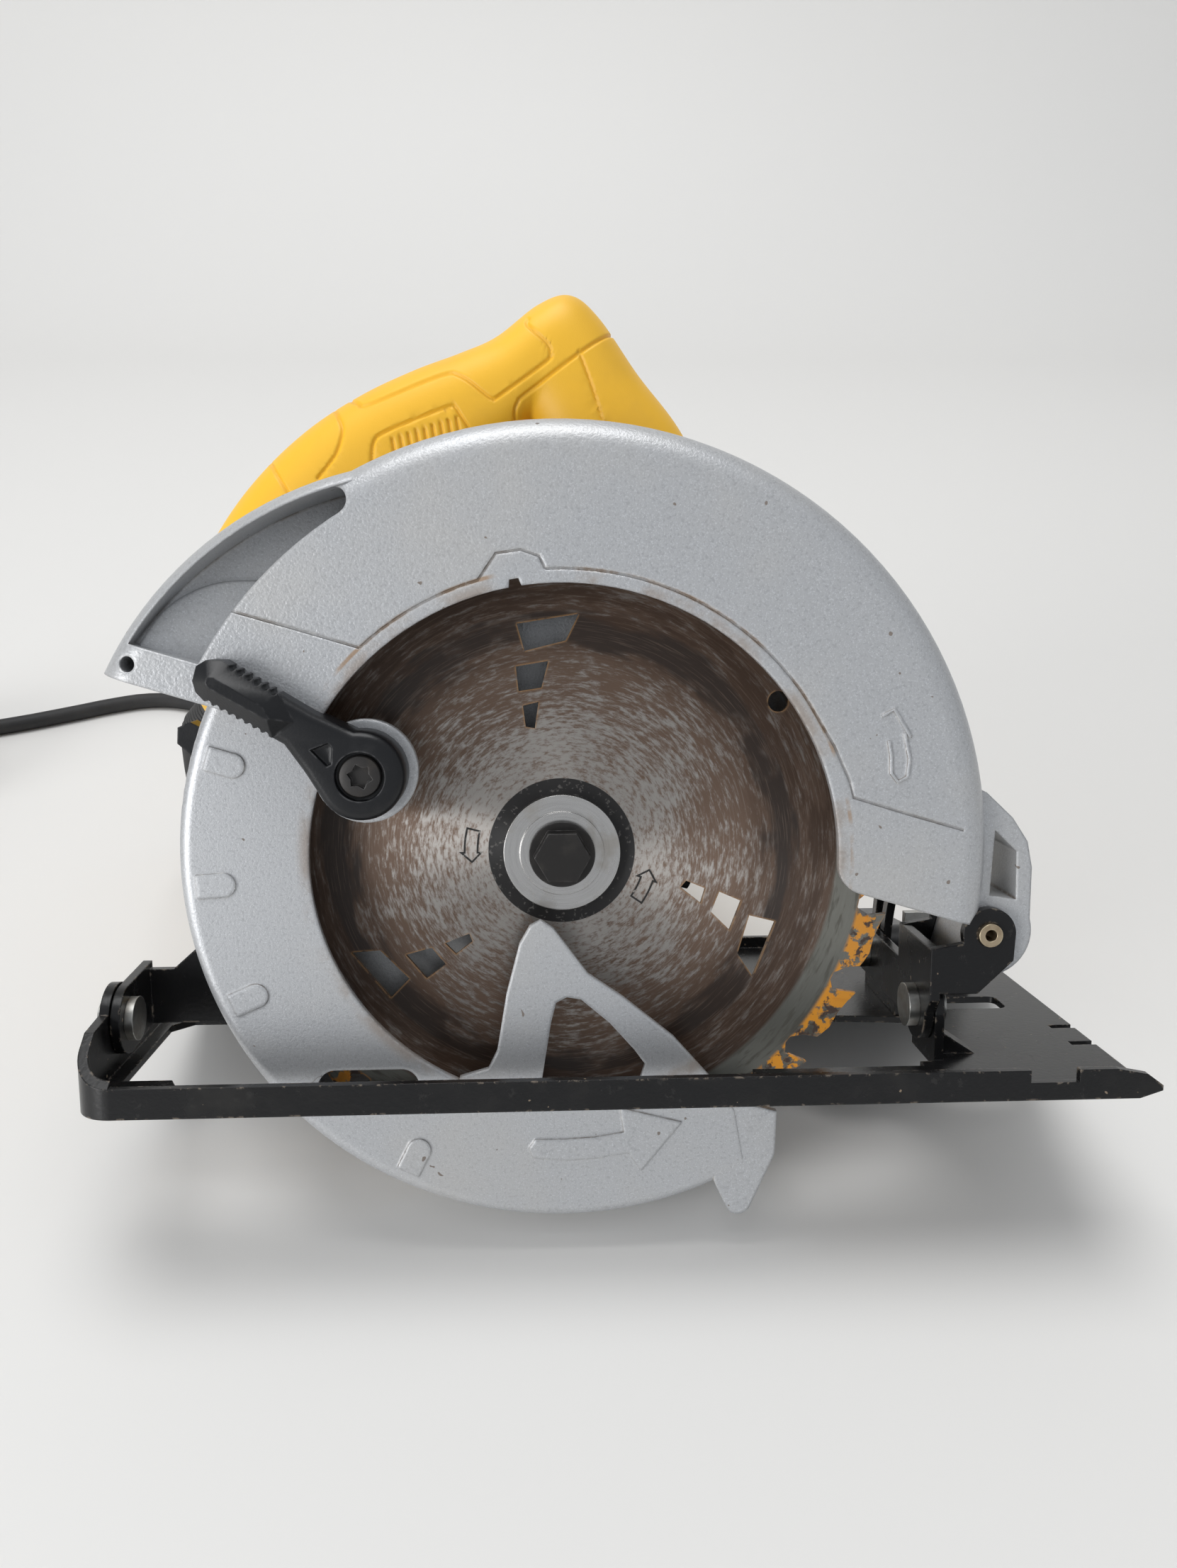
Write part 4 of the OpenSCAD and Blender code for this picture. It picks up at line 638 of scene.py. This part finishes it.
class SAW_OT_lead(bpy.types.Operator):
    """Lays the mains lead from the handle to its coil, with its strain relief and plug"""
    bl_idname = "saw.lead"
    bl_label = "Mains lead"

    def execute(self, context):
        diameter = context.scene.saw_sizes.lead_diameter
        route = self.route(diameter * 1000)
        path = bpy.data.curves.new("lead", "CURVE")
        path.dimensions = "3D"
        path.resolution_u = 3
        path.bevel_depth = diameter / 2
        path.bevel_resolution = 3
        path.use_fill_caps = True
        line = path.splines.new("BEZIER")
        line.bezier_points.add(len(route) - 1)
        for knot, point in zip(line.bezier_points, route):
            knot.co = point / 1000
            knot.handle_left_type = "AUTO"
            knot.handle_right_type = "AUTO"
        lead = bpy.data.objects.new("lead", path)
        context.scene.collection.objects.link(lead)
        skin = rubber("lead_rubber")
        path.materials.append(skin)
        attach(lead, "saw_body")
        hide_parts("cord_run", "cord_coil")
        plug = self.plug(skin, route[-1])
        self.sleeve(skin)
        return {"FINISHED"}

    @staticmethod
    def exit_point():
        """Where the lead leaves the handle, in millimetres on the floor"""
        return BODY @ EXIT_BODY * 1000

    @staticmethod
    def place(start):
        """Stands a drawing's Z axis along the lead where it leaves the handle"""
        turn = Matrix.Rotation(EXIT_TURN, 4, "Z") @ Matrix.Rotation(-EXIT_TILT, 4, "X")
        return Matrix.Translation(SAW_OT_lead.exit_point()) @ turn @ Matrix.Translation((0, 0, start))

    def coil_point(self, turn, gap, radius):
        """A point of the coil, after so many turns"""
        angle = COIL_START + 2 * pi * turn
        reach = COIL_R + gap * (change(TURN_OUTER, turn, 1 - CHANGE_SHARE) - 0.5)
        height = radius + 0.1 + gap * change(TURN_LAYER, turn, 1 - 2 * CHANGE_SHARE)
        return Vector((COIL_CENTRE[0] + reach * cos(angle), COIL_CENTRE[1] + reach * sin(angle), height))

    def route(self, thick):
        """Points along the lead's middle, in millimetres on the floor"""
        r = thick / 2
        gap = thick + 0.4
        to_floor = Vector((BLADE_CENTRE_M.x, BLADE_CENTRE_M.y, 0)) * 1000
        exit_at = self.exit_point() - to_floor
        sleeve_end = exit_at + SLEEVE_LENGTH * EXIT_DIR
        falling = [(-134, 123, 61), (-138, 136, 37), (-140, 152, 15), (-140.6, 162, 8), (-141, 173, 4.4)]
        lying = [(-142, 200), (-145, 227), (-154, 253), (-167, 272), (-184, 282), (-202, 284),
                 (-218, 279), (-234, 271), (-262, 258), (-290, 249)]
        way = [exit_at - 8 * EXIT_DIR, exit_at, sleeve_end - 20 * EXIT_DIR, sleeve_end - EXIT_DIR,
               sleeve_end + 8 * EXIT_DIR]
        way += [Vector(point) for point in falling]
        way += [Vector((x, y, r)) for x, y in lying]
        way += [self.coil_point(0, gap, r)]
        per_turn = 18
        steps = int(per_turn * COIL_TURNS)
        way += [self.coil_point(i / per_turn, gap, r) for i in range(1, steps + 1)]
        last = self.coil_point(COIL_TURNS, gap, r)
        drop = PLUG_R - last.z
        tail = [(14, -1.5), (34, -8.5), (54, -13.8), (70, drop)]
        way += [last] + [last + Vector((0, -back, down)) for back, down in tail]
        return [Vector((p.x, p.y, max(p.z, r + 0.1))) + to_floor for p in way]

    def plug(self, skin, at):
        """Moulded plug with a waist to pull it by, and two round pins"""
        profile = [(0, 0), (4.9, 0)]
        for i in range(3):
            start = -0.6 - i * 3.2
            profile += [(5.3, start), (5.3, start - 2.0), (4.3, start - 2.3), (4.3, start - 2.9)]
        profile += [(5.3, -10.4), (8.8, -11), (10.3, -12.2), (PLUG_R - 0.1, -15), (9.7, -21), (9.3, -26),
                    (9.8, -31), (PLUG_R - 0.1, -36), (PLUG_R - 0.1, -38.8), (10.4, -39.8), (7.9, -40.2),
                    (7.9, -44.2), (7.2, -44.9), (0, -44.9)]
        body = turned(profile)
        for side in (-9.5, 9.5):
            pin = turned([(0, -35), (2.35, -35), (2.35, -61.2), (1.5, -62.9), (0, -62.9)], 24)
            join(body, moved(pin, Matrix.Translation((side, 0, 0))), 1)
        stand = Matrix.Translation(at) @ Matrix.Rotation(-pi / 2, 4, "X")
        made = piece("mains_plug", body, Matrix.Scale(0.001, 4) @ stand, skin, "saw_body")
        made.data.materials.append(turned_steel("plug_pin_steel", (0.62, 0.60, 0.56), 0.22))
        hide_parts("plug")
        return made

    def sleeve(self, skin):
        """Tapered strain relief with rings moulded round it"""
        inner = 3.85
        profile = [(inner, -11), (6, -11), (6, 5)]
        for i in range(8):
            start = 6 + i * 4.3
            r = 5.9 - 0.034 * start
            profile += [(r, start), (r, start + 2.4), (r - 0.9, start + 2.7), (r - 0.9, start + 4.0)]
        profile += [(4.65, 40.6), (4.5, SLEEVE_LENGTH), (inner, SLEEVE_LENGTH)]
        rings = turned(profile, 40, ring=True)
        made = piece("strain_relief", rings, Matrix.Scale(0.001, 4) @ self.place(0), skin, "saw_body")
        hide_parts("cord_sleeve")


# ---------- stage ----------

class SAW_OT_stage(bpy.types.Operator):
    """Sets the floor, the lights and the camera, with their places in metres"""
    bl_idname = "saw.stage"
    bl_label = "Stage"

    def execute(self, context):
        scene = context.scene
        scene.view_settings.view_transform = "Standard"
        self.floor(scene)
        self.camera(scene)
        world = bpy.data.worlds.new("room")
        world.use_nodes = True
        world.node_tree.nodes["Background"].inputs["Color"].default_value = (0.93, 0.96, 1.0, 1)
        world.node_tree.nodes["Background"].inputs["Strength"].default_value = 0.50
        scene.world = world
        self.lamp(scene, "window", (-1.35, -1.15, 0.45), 1.0, 16)
        self.lamp(scene, "ceiling", (-0.2, 0.3, 2.2), 1.6, 26)
        return {"FINISHED"}

    def floor(self, scene):
        """A pale floor that curves up into a wall behind"""
        reach, bend_y, bend_r, wall = 6, 1.1, 0.5, 4
        bm = bmesh.new()
        bmesh.ops.create_grid(bm, x_segments=1, y_segments=1, size=reach)
        rear = [e for e in bm.edges if all(v.co.y > 0 for v in e.verts)]
        for v in bm.verts:
            v.co.y = bend_y if v.co.y > 0 else -reach
            v.co.x *= 3
        bmesh.ops.spin(bm, geom=rear, axis=(1, 0, 0), cent=(0, bend_y, bend_r), steps=16, angle=pi / 2)
        top = max(v.co.z for v in bm.verts)
        crest = [e for e in bm.edges if all(v.co.z > top - 1e-4 for v in e.verts)]
        raised = bmesh.ops.extrude_edge_only(bm, edges=crest)["geom"]
        shift(bm, raised, (0, 0, wall))
        bmesh.ops.recalc_face_normals(bm, faces=bm.faces)
        made = loose_object("floor", bm)
        made.data.shade_smooth()
        pale = bpy.data.materials.new("pale_floor")
        pale.use_nodes = True
        shader = pale.node_tree.nodes["Principled BSDF"]
        shader.inputs["Base Color"].default_value = (0.78, 0.77, 0.75, 1)
        shader.inputs["Roughness"].default_value = 0.6
        made.data.materials.append(pale)

    def camera(self, scene):
        lens = bpy.data.cameras.new("camera")
        lens.sensor_fit = "VERTICAL"
        lens.sensor_height = 36
        lens.lens = 28.09
        eye = bpy.data.objects.new("camera", lens)
        right = Vector((0.99910, -0.04090, 0.01120))
        up = Vector((0.0109, 0.5026, 0.8645))
        back = right.cross(up).normalized()
        up = back.cross(right).normalized()
        turn = Matrix((right.normalized(), up, back)).transposed().to_4x4()
        eye_m = (-0.0201, -0.3352, 0.2805)
        eye.matrix_world = Matrix.Translation(eye_m) @ turn
        scene.collection.objects.link(eye)
        scene.camera = eye

    def lamp(self, scene, name, at, size, power):
        light = bpy.data.lights.new(name, "AREA")
        light.shape = "DISK"
        light.size = size
        light.energy = power
        made = bpy.data.objects.new(name, light)
        made.location = at
        made.rotation_euler = (Vector((0, 0, 0.1)) - Vector(at)).to_track_quat("-Z", "Y").to_euler()
        scene.collection.objects.link(made)


# ---------- cast and pressed pieces ----------

class SAW_OT_castings(bpy.types.Operator):
    """Paints the cast guards and the gear case silver"""
    bl_idname = "saw.castings"
    bl_label = "Cast guards"

    def execute(self, context):
        paint = silver_paint("upper_guard_paint", BODY, CUTOUT_R + 0.5, CUTOUT_R + 3.5)
        put_on(paint, "upper_guard", "gear_case")
        lower = silver_paint("lower_guard_paint", SAW, LOW_WINDOW_R + 0.6, grain=0.05)
        put_on(lower, "lower_guard")
        self.chute_end(paint)
        self.chute_ramp(paint)
        return {"FINISHED"}

    def chute_end(self, paint):
        """Rounds off the narrow end of the dust chute, in line with the guard's curved face"""
        mouth, end = 137.9, 129.3
        inner_r, outer_r, back_y = 102.8, 111, -12
        proud, sunk = 0.04, 0.06
        flat_r = GUARD_R - GUARD_ROUND
        steps = [0.8 * i for i in range(8)]
        skin = [(flat_r + step, GUARD_ROUND - GUARD_FACE - sqrt(GUARD_ROUND ** 2 - step ** 2) - proud)
                for step in steps]
        section = [(inner_r, back_y), (inner_r, sunk - GUARD_FACE)] + skin
        section += [(outer_r, -15.85), (outer_r, back_y)]
        bm = bmesh.new()
        corners = []
        for r, y in section:
            x, z = polar(r, mouth)
            corners.append(bm.verts.new((x, y, z)))
        face = bm.faces.new(corners)
        turn = bmesh.ops.spin(bm, geom=[face] + face.edges[:] + corners, axis=(0, 1, 0), cent=(0, 0, 0),
                              steps=12, angle=radians(mouth - end))
        # the last stretch dips under the guard's face, so that no step shows
        last = [g for g in turn["geom_last"] if isinstance(g, bmesh.types.BMFace)]
        dip = bmesh.ops.extrude_face_region(bm, geom=last)["geom"]
        bmesh.ops.delete(bm, geom=last, context="FACES_ONLY")
        ends = [g for g in dip if isinstance(g, bmesh.types.BMVert)]
        bmesh.ops.rotate(bm, verts=ends, cent=(0, 0, 0), matrix=Matrix.Rotation(radians(1.2), 3, "Y"))
        bmesh.ops.translate(bm, verts=ends, vec=(0, 0.12, 0))
        bmesh.ops.recalc_face_normals(bm, faces=bm.faces)
        mouth_r, rounding = 108.0, 3.4
        bar = drum(rounding, -20, -11, *polar(mouth_r, mouth))
        piece("chute_end", cut(bm, bar), BODY, paint, "saw_body")

    def chute_ramp(self, paint):
        """The ramp at the mouth of the chute, with a soft crest across the chute's floor"""
        crest = [(-118.6, 22.4), (-117.6, 27.5), (-114.6, 35.0), (-110, 40.6), (-104.4, 44.6), (-98, 47.0),
                 (-91.2, 48.9)]
        line = [(p.x, p.z) for p in smooth(flat(crest), 4)]
        wall_r = 103
        wall = [polar(wall_r, a) for a in (152, 156, 160, 164, 167.4)]
        ramp = prism(line + wall, 0, 4.5, 1.9, 4)
        # the chute's floor slopes towards its mouth
        slope = Matrix(((1, 0, 0, 0), (0.18485, 1, 0.2053, 5.42 - 2.3), (0, 0, 1, 0), (0, 0, 0, 1)))
        piece("chute_ramp", moved(ramp, slope), BODY, paint, "saw_body")


class SAW_OT_pressings(bpy.types.Operator):
    """Paints the shoe and its brackets black, and leaves their rivets and bolts bare"""
    bl_idname = "saw.pressings"
    bl_label = "Shoe and brackets"

    def execute(self, context):
        put_on(black_paint(), "shoe_plate", "bevel_quadrant", "fence_clamp", "front_yoke", "rear_bracket")
        zinc = dull_steel("zinc_steel", (0.42, 0.42, 0.40), 0.36)
        put_on(zinc, "fence_screw", "bevel_rivets", "bevel_bolt", "depth_bolt", "depth_washer")
        put_on(dull_steel("pin_steel", (0.52, 0.42, 0.29), 0.42, tarnish=(0.20, 0.13, 0.07)), "depth_pin")
        return {"FINISHED"}


class SAW_OT_blade(bpy.types.Operator):
    """Finishes the blade, its washers and bolt, and prints the turning arrows on it"""
    bl_idname = "saw.blade"
    bl_label = "Blade and arbor"

    def execute(self, context):
        put_on(sawn_steel(), "blade")
        bright = turned_steel("washer_steel", (0.60, 0.59, 0.575), 0.26)
        put_on(bright, "inner_washer", "outer_washer", "spindle")
        blacked = dull_steel("black_oxide", (0.035, 0.033, 0.032), 0.38, 0.7, (0.055, 0.05, 0.045))
        put_on(blacked, "blade_bolt")
        put_on(turned_steel("bearing_steel", (0.55, 0.55, 0.55), 0.2), "spindle_bearing", "retaining_ring",
               "guard_spring")
        put_on(dull_steel("sintered_bronze", (0.42, 0.24, 0.10), 0.45), "spindle_bush")
        put_on(dull_steel("gear_steel", (0.30, 0.29, 0.28), 0.4), "spindle_gear")
        ink = Finish("blade_ink", (0.015, 0.014, 0.013), 0.5, 0.0, SAW)
        ink.coat(ink.patches(0.8, 0.62, 0.70, 3.0), (0.25, 0.24, 0.22), 0.4)
        ink = ink.done()
        for number, angle in enumerate((176, -24)):
            self.arrow(ink, f"turning_arrow_{number + 1}", radians(angle))
        return {"FINISHED"}

    def arrow(self, ink, name, middle):
        """A curved outline arrow, printed at an angle round the blade"""
        inner, outer, stroke = 22.7, 26.7, 0.5
        tail, head, tip = -0.19, 0.07, 0.20
        face_y, thickness = -0.66, 0.05
        bends = [tail + (head - tail) * i / 8 for i in range(9)]
        shape = [(outer, a) for a in bends]
        shape += [(outer + 1.3, head), ((inner + outer) / 2, tip), (inner - 1.3, head)]
        shape += [(inner, a) for a in reversed(bends)]
        bm = bmesh.new()
        corners = [bm.verts.new((r * cos(middle + a), face_y, r * sin(middle + a))) for r, a in shape]
        face = bm.faces.new(corners)
        bm.normal_update()
        bmesh.ops.inset_region(bm, faces=[face], thickness=stroke, use_boundary=True, use_even_offset=True)
        bmesh.ops.delete(bm, geom=[face], context="FACES")
        grown = bmesh.ops.extrude_face_region(bm, geom=bm.faces[:])["geom"]
        shift(bm, grown, (0, thickness, 0))
        piece(name, bm, SAW, ink, "blade_group", smooth=False)


# The handle's loop from the motor round and back to it, as outer x, z and inner x, z at each station
HANDLE_LOOP = [
    (22, 52, -8, 50), (29, 82, -14, 75), (19, 104, -21, 87), (3.4, 122.9, -29, 97),
    (-14.6, 135.8, -36, 105), (-30.3, 148, -40, 110), (-40.2, 151.6, -41.5, 111.5),
    (-48.5, 146.3, -42.3, 110.5), (-57.8, 134, -43.2, 107.5), (-66.8, 126.5, -45, 103),
    (-78.4, 118, -53.6, 92), (-91.3, 106.8, -64.7, 81.2), (-103.6, 93, -74.4, 70.5),
    (-113.8, 76.6, -82.2, 59.4), (-121, 59, -89, 47), (-125, 39.9, -93.8, 34.1), (-123, 19, -94, 24),
    (-110, 1, -90.5, 18.5), (-88, -6.4, -84.2, 17.4), (-70, -7, -70, 17), (-44, -4, -46, 20)]
OUTER = flat(station[:2] for station in HANDLE_LOOP)
INNER = flat(station[2:] for station in HANDLE_LOOP)

# Grooves round the handle's panels, as x and z
TOP_PANEL = [(-49.6, 139.5), (-49.1, 137.4), (-42.2, 133.6), (-40.6, 131.2), (-41, 129.1), (-51.4, 115.9),
             (-52.9, 114.7), (-55, 115), (-63.6, 118.2), (-69.5, 116.8), (-86.7, 103.5), (-90.2, 103),
             (-93.5, 103.6)]
REAR_PANEL = [(-97, 99.5), (-94.6, 97.6), (-92.2, 94.6), (-91.6, 91), (-91.8, 87.1), (-93, 83.7), (-95, 79)]
REAR_JOINT = [(-111, 79.6), (-108.6, 78), (-104.9, 75), (-100, 70.6)]
NOSE_JOINT = [(-24.4, 144.5), (-26.9, 141.5), (-43.8, 119.5), (-45.8, 116), (-46, 113), (-44.6, 109)]
RIB_PANEL = [(-80.4, 84), (-81.6, 88.9), (-82.2, 93.4), (-79.6, 97.3), (-65, 108.6), (-62.6, 109.1),
             (-60.8, 107.7), (-54.6, 102.4)]
NOSE_FACET = [(-33, 134.4), (-25.6, 124.5), (-18.5, 112.5), (-14.6, 100)]
RIBS = 9


def bulge(value):
    """Squares off a round section a little"""
    return copysign(abs(value) ** 0.8, value)


class SAW_OT_handle(bpy.types.Operator):
    """Moulds the two halves of the handle, with their panels and ribs, and its trigger and button"""
    bl_idname = "saw.handle"
    bl_label = "Handle"

    def execute(self, context):
        sizes = context.scene.saw_sizes
        self.grooves = self.find_grooves()
        loop = loose_object("loop", self.loop(sizes))
        finish = yellow_plastic()
        into_body = BODY.inverted() @ Matrix.Scale(0.001, 4) @ SAW_OT_lead.place(-16)
        for name, node, y0, y1 in (("handle_near", "handle_left", HANDLE_Y - 0.1, HANDLE_Y + 40),
                                   ("handle_far", "handle_right", HANDLE_Y - 40, HANDLE_Y + 0.1)):
            half = bmesh.new()
            half.from_mesh(loop.data)
            bore = bmesh.new()
            bmesh.ops.create_cone(
                bore, cap_ends=True, segments=48, radius1=BORE_R, radius2=BORE_R, depth=40)
            moved(bore, into_body @ Matrix.Translation((0, 0, 20)))
            other_half = block(-200, 100, y0, y1, -100, 200)
            motor = drum(MOTOR_R + 0.05, 20, 90, MOTOR_AT.x, MOTOR_AT.z, 160)
            slot = moved(block(-20, 15.3, -6.3, 6.3, -13.3, 13.3), TRIGGER)
            cutters = [other_half, bore, motor, slot]
            if node == "handle_right":
                cutters += [drum(2.9, HANDLE_Y + 14, HANDLE_Y + 21, x, z, 32) for x, z in HANDLE_SCREWS]
                cutters.append(drum(5.8, HANDLE_Y + 2, HANDLE_Y + 30, *BUTTON_AT, 48))
            half = cut(half, *cutters)
            made = piece(name, half, BODY, finish, "saw_body")
            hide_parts(node)
        bpy.data.objects.remove(loop)
        self.small_pieces()
        return {"FINISHED"}

    def find_grooves(self):
        """Points close together along every groove, to tell how far a place is from the nearest one"""
        start, end = Vector((-77.5, 0, 95.6)), Vector((-61.5, 0, 106.6))
        lines = [smooth(flat(line), 4)
                 for line in (TOP_PANEL, REAR_PANEL, REAR_JOINT, NOSE_JOINT, RIB_PANEL, NOSE_FACET)]
        for i in range(RIBS):
            top = start.lerp(end, i / (RIBS - 1))
            lines.append([top, top + Vector((3.1, 0, -6.4))])
        points = []
        for line in lines:
            for a, b in zip(line, line[1:]):
                count = int((b - a).length / 0.15) + 1
                points += [a.lerp(b, i / count) for i in range(count + 1)]
        tree = KDTree(len(points))
        for i, point in enumerate(points):
            tree.insert(point, i)
        tree.balance()
        return tree

    def skin(self, place):
        """Where a place on the flat grid lies on the handle"""
        along = (place.x + 0.5) * (len(OUTER) - 1)
        turn = (place.y + 0.5) * 2 * pi
        station = min(int(along), len(OUTER) - 2)
        inner = spline(INNER, station, along - station)
        outer = spline(OUTER, station, along - station)
        point = inner.lerp(outer, (1 + bulge(cos(turn))) / 2)
        point.y = HANDLE_Y - HANDLE_HALF_WIDTH * bulge(sin(turn))
        return point

    def away(self, point):
        """How far a point is from the nearest groove, seen from the side"""
        return self.grooves.find(Vector((point.x, 0, point.z)))[2]

    def loop(self, sizes):
        """The handle's skin: a grid with closer points along the grooves, rolled up into the loop"""
        bm = bmesh.new()
        bmesh.ops.create_grid(
            bm, x_segments=sizes.handle_rows * (len(OUTER) - 1), y_segments=104, size=0.5)
        close = {v for v in bm.verts if self.away(self.skin(v.co)) < 1.7}
        edges = [e for e in bm.edges if all(v in close for v in e.verts)]
        bmesh.ops.subdivide_edges(bm, edges=edges, cuts=2, use_grid_fill=True)
        for v in bm.verts:
            v.co = self.skin(v.co)
        bmesh.ops.remove_doubles(bm, verts=bm.verts, dist=1e-4)
        bmesh.ops.recalc_face_normals(bm, faces=bm.faces)
        bm.normal_update()
        for v in bm.verts:
            share = min(self.away(v.co) / sizes.groove_width, 1)
            v.co -= v.normal * sizes.groove_depth * (1 - share * share * (3 - 2 * share))
        bmesh.ops.holes_fill(bm, edges=[e for e in bm.edges if e.is_boundary], sides=0)
        return bm

    def small_pieces(self):
        """The trigger's blade and the lock-off button's dome"""
        black = black_plastic("handle_black")
        finger = [(-9, -13), (-8.6, -10), (-5.4, -5), (-4, 1), (-4.6, 7), (-7.2, 11), (-9, 13)]
        curve = [(9.2, 13), (9.2, -13)] + [(p.x, p.z) for p in smooth(flat(finger), 5)]
        trigger = prism(curve, -5.9, 5.9)
        long_edges = [e for e in trigger.edges if abs(e.verts[0].co.y - e.verts[1].co.y) < 1e-6]
        round_edges(trigger, long_edges, 1.3, 3)
        made = piece("trigger_blade", trigger, BODY @ TRIGGER, black, "trigger")
        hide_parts("trigger")
        dome = turned([(0, 0), (3.6, -0.15), (4.8, -0.7), (5.4, -1.6), (5.4, -14.8), (0, -14.8)])
        bands = [moved(block(-3.4, 3.4, -0.25, 0.25, -0.45, 1), Matrix.Translation((0, step, 0)))
                 for step in (-2.4, -1.2, 0, 1.2, 2.4)]
        x, z = BUTTON_AT
        top = facing(x, HANDLE_Y + HANDLE_HALF_WIDTH + 2.9, z, back=True)
        button = piece("lock_off_dome", cut(dome, *bands), BODY @ top, black, "lock_off_button")
        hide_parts("lock_off_button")


class SAW_OT_fasteners(bpy.types.Operator):
    """Makes the screws that show, with their recesses"""
    bl_idname = "saw.fasteners"
    bl_label = "Screws"

    def execute(self, context):
        bright = dull_steel("screw_steel", (0.40, 0.40, 0.39), 0.36)
        dark = dull_steel("dark_screw", (0.045, 0.043, 0.042), 0.45, 0.7, (0.07, 0.06, 0.05))
        seat = HANDLE_Y + HANDLE_HALF_WIDTH - 2.3
        handle = screws(2.75, 1.8, 1.5, 26, [facing(x, seat, z, True, x) for x, z in HANDLE_SCREWS])
        made = piece("handle_screw_set", handle, BODY, bright, "saw_body")
        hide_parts("handle_screws")
        around = []
        for angle in (30, 150, 235, 305):
            x, z = polar(MOTOR_R + 3.6, angle)
            around.append(facing(MOTOR_AT.x + x, 52.3, MOTOR_AT.z + z, True, angle))
        motor = screws(3.35, 2.4, 1.9, 22, around)
        made = piece("motor_screw_set", motor, BODY, bright, "saw_body")
        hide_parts("motor_screws")
        lever = screws(5.4, 2.0, 1.9, 11, [facing(LEVER_AT.x, -26.6, LEVER_AT.z, angle=0.3)])
        made = piece("lever_screw_head", lever, SAW, dark, "lower_guard")
        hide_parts("lever_screw")
        return {"FINISHED"}


class SAW_OT_guard_lever(bpy.types.Operator):
    """Moulds the lever that lifts the lower guard"""
    bl_idname = "saw.guard_lever"
    bl_label = "Guard lever"

    def execute(self, context):
        far_end = [(-87.6, 43.6), (-89.4, 45.6), (-90.1, 48.4), (-89, 52), (-86.6, 53.4), (-82.8, 53.3)]
        arm = [(-64, 25.4), (-68.9, 32.5)] + far_end + [(-61.7, 40.3), (-53.5, 36.4)]
        hub_r = 11.2
        hub = [(LEVER_AT.x + x, LEVER_AT.z + z) for x, z in (polar(hub_r, a) for a in range(96, -145, -8))]
        lower = prism(arm + hub, -27, -15.9, 2.1, 3)
        tip = [(-71.5, 34.3)] + far_end + [(-69.6, 45.2), (-66, 38)]
        upper = prism(tip, -30.9, -22, 4.0, 1)
        teeth = [drum(0.85, -32, -15, -73 - 1.93 * i, 35.1 + 1.115 * i, 16) for i in range(8)]
        teeth += [drum(0.85, -32, -15, -70.6 - 1.95 * i, 45.6 + 1.19 * i, 16) for i in range(6)]
        wedge = [(-62.4, 31.2), (-57.9, 32.9), (-56.9, 31.8), (-57.2, 27.6), (-58.4, 27)]
        pocket = prism(wedge, -25.4, -28.2, 0.9, 2)
        recess = drum(6.2, -32, -24.6, LEVER_AT.x, LEVER_AT.z)
        lower = cut(lower, recess, pocket, *[b.copy() for b in teeth])
        join(lower, cut(upper, *teeth))
        black = black_plastic("lever_black")
        made = piece("guard_lever_moulding", lower, SAW, black, "lower_guard")
        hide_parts("guard_lever")
        return {"FINISHED"}


class SAW_OT_motor(bpy.types.Operator):
    """Finishes the motor: its yellow tube, end cap, windings and shaft"""
    bl_idname = "saw.motor"
    bl_label = "Motor"

    def execute(self, context):
        put_on(yellow_plastic("motor_yellow"), "motor_housing")
        put_on(black_plastic(), "end_cap", "brush_caps", "fan", "switch", "spindle_lock", "bevel_lever",
               "depth_lever")
        put_on(dull_steel("laminated_steel", (0.18, 0.18, 0.19), 0.5), "field_stator")
        put_on(dull_steel("copper_winding", (0.55, 0.24, 0.10), 0.4), "armature_core", "commutator")
        put_on(dull_steel("carbon", (0.02, 0.02, 0.02), 0.6, 0.2), "carbon_brushes")
        put_on(turned_steel("shaft_steel", (0.55, 0.55, 0.55), 0.25), "armature_shaft", "motor_bearings")
        put_on(rubber("bumper_rubber"), "guard_bumper")
        put_on(dull_steel("case_screw_steel", (0.40, 0.40, 0.39), 0.36), "case_screws")
        return {"FINISHED"}


# ---------- panel and start ----------

PIECES = (SAW_OT_stage, SAW_OT_lead, SAW_OT_castings, SAW_OT_pressings, SAW_OT_blade, SAW_OT_motor,
          SAW_OT_handle, SAW_OT_guard_lever, SAW_OT_fasteners)


class SAW_PT_panel(bpy.types.Panel):
    """Lists the saw's pieces in the sidebar"""
    bl_label = "Circular saw"
    bl_idname = "SAW_PT_panel"
    bl_space_type = "VIEW_3D"
    bl_region_type = "UI"
    bl_category = "Saw"

    def draw(self, context):
        for group in (context.scene.saw_colours, context.scene.saw_sizes):
            for key in group.__annotations__:
                self.layout.prop(group, key)
        for step in PIECES:
            self.layout.operator(step.bl_idname)


CLASSES = (SawColours, SawSizes) + PIECES + (SAW_PT_panel,)


def register():
    for cls in CLASSES:
        bpy.utils.register_class(cls)
    bpy.types.Scene.saw_colours = PointerProperty(type=SawColours)
    bpy.types.Scene.saw_sizes = PointerProperty(type=SawSizes)


def unregister():
    del bpy.types.Scene.saw_sizes
    del bpy.types.Scene.saw_colours
    for cls in reversed(CLASSES):
        bpy.utils.unregister_class(cls)


def main():
    register()
    for step in PIECES:
        group, name = step.bl_idname.split(".")
        getattr(getattr(bpy.ops, group), name)()


if __name__ == "__main__":
    main()
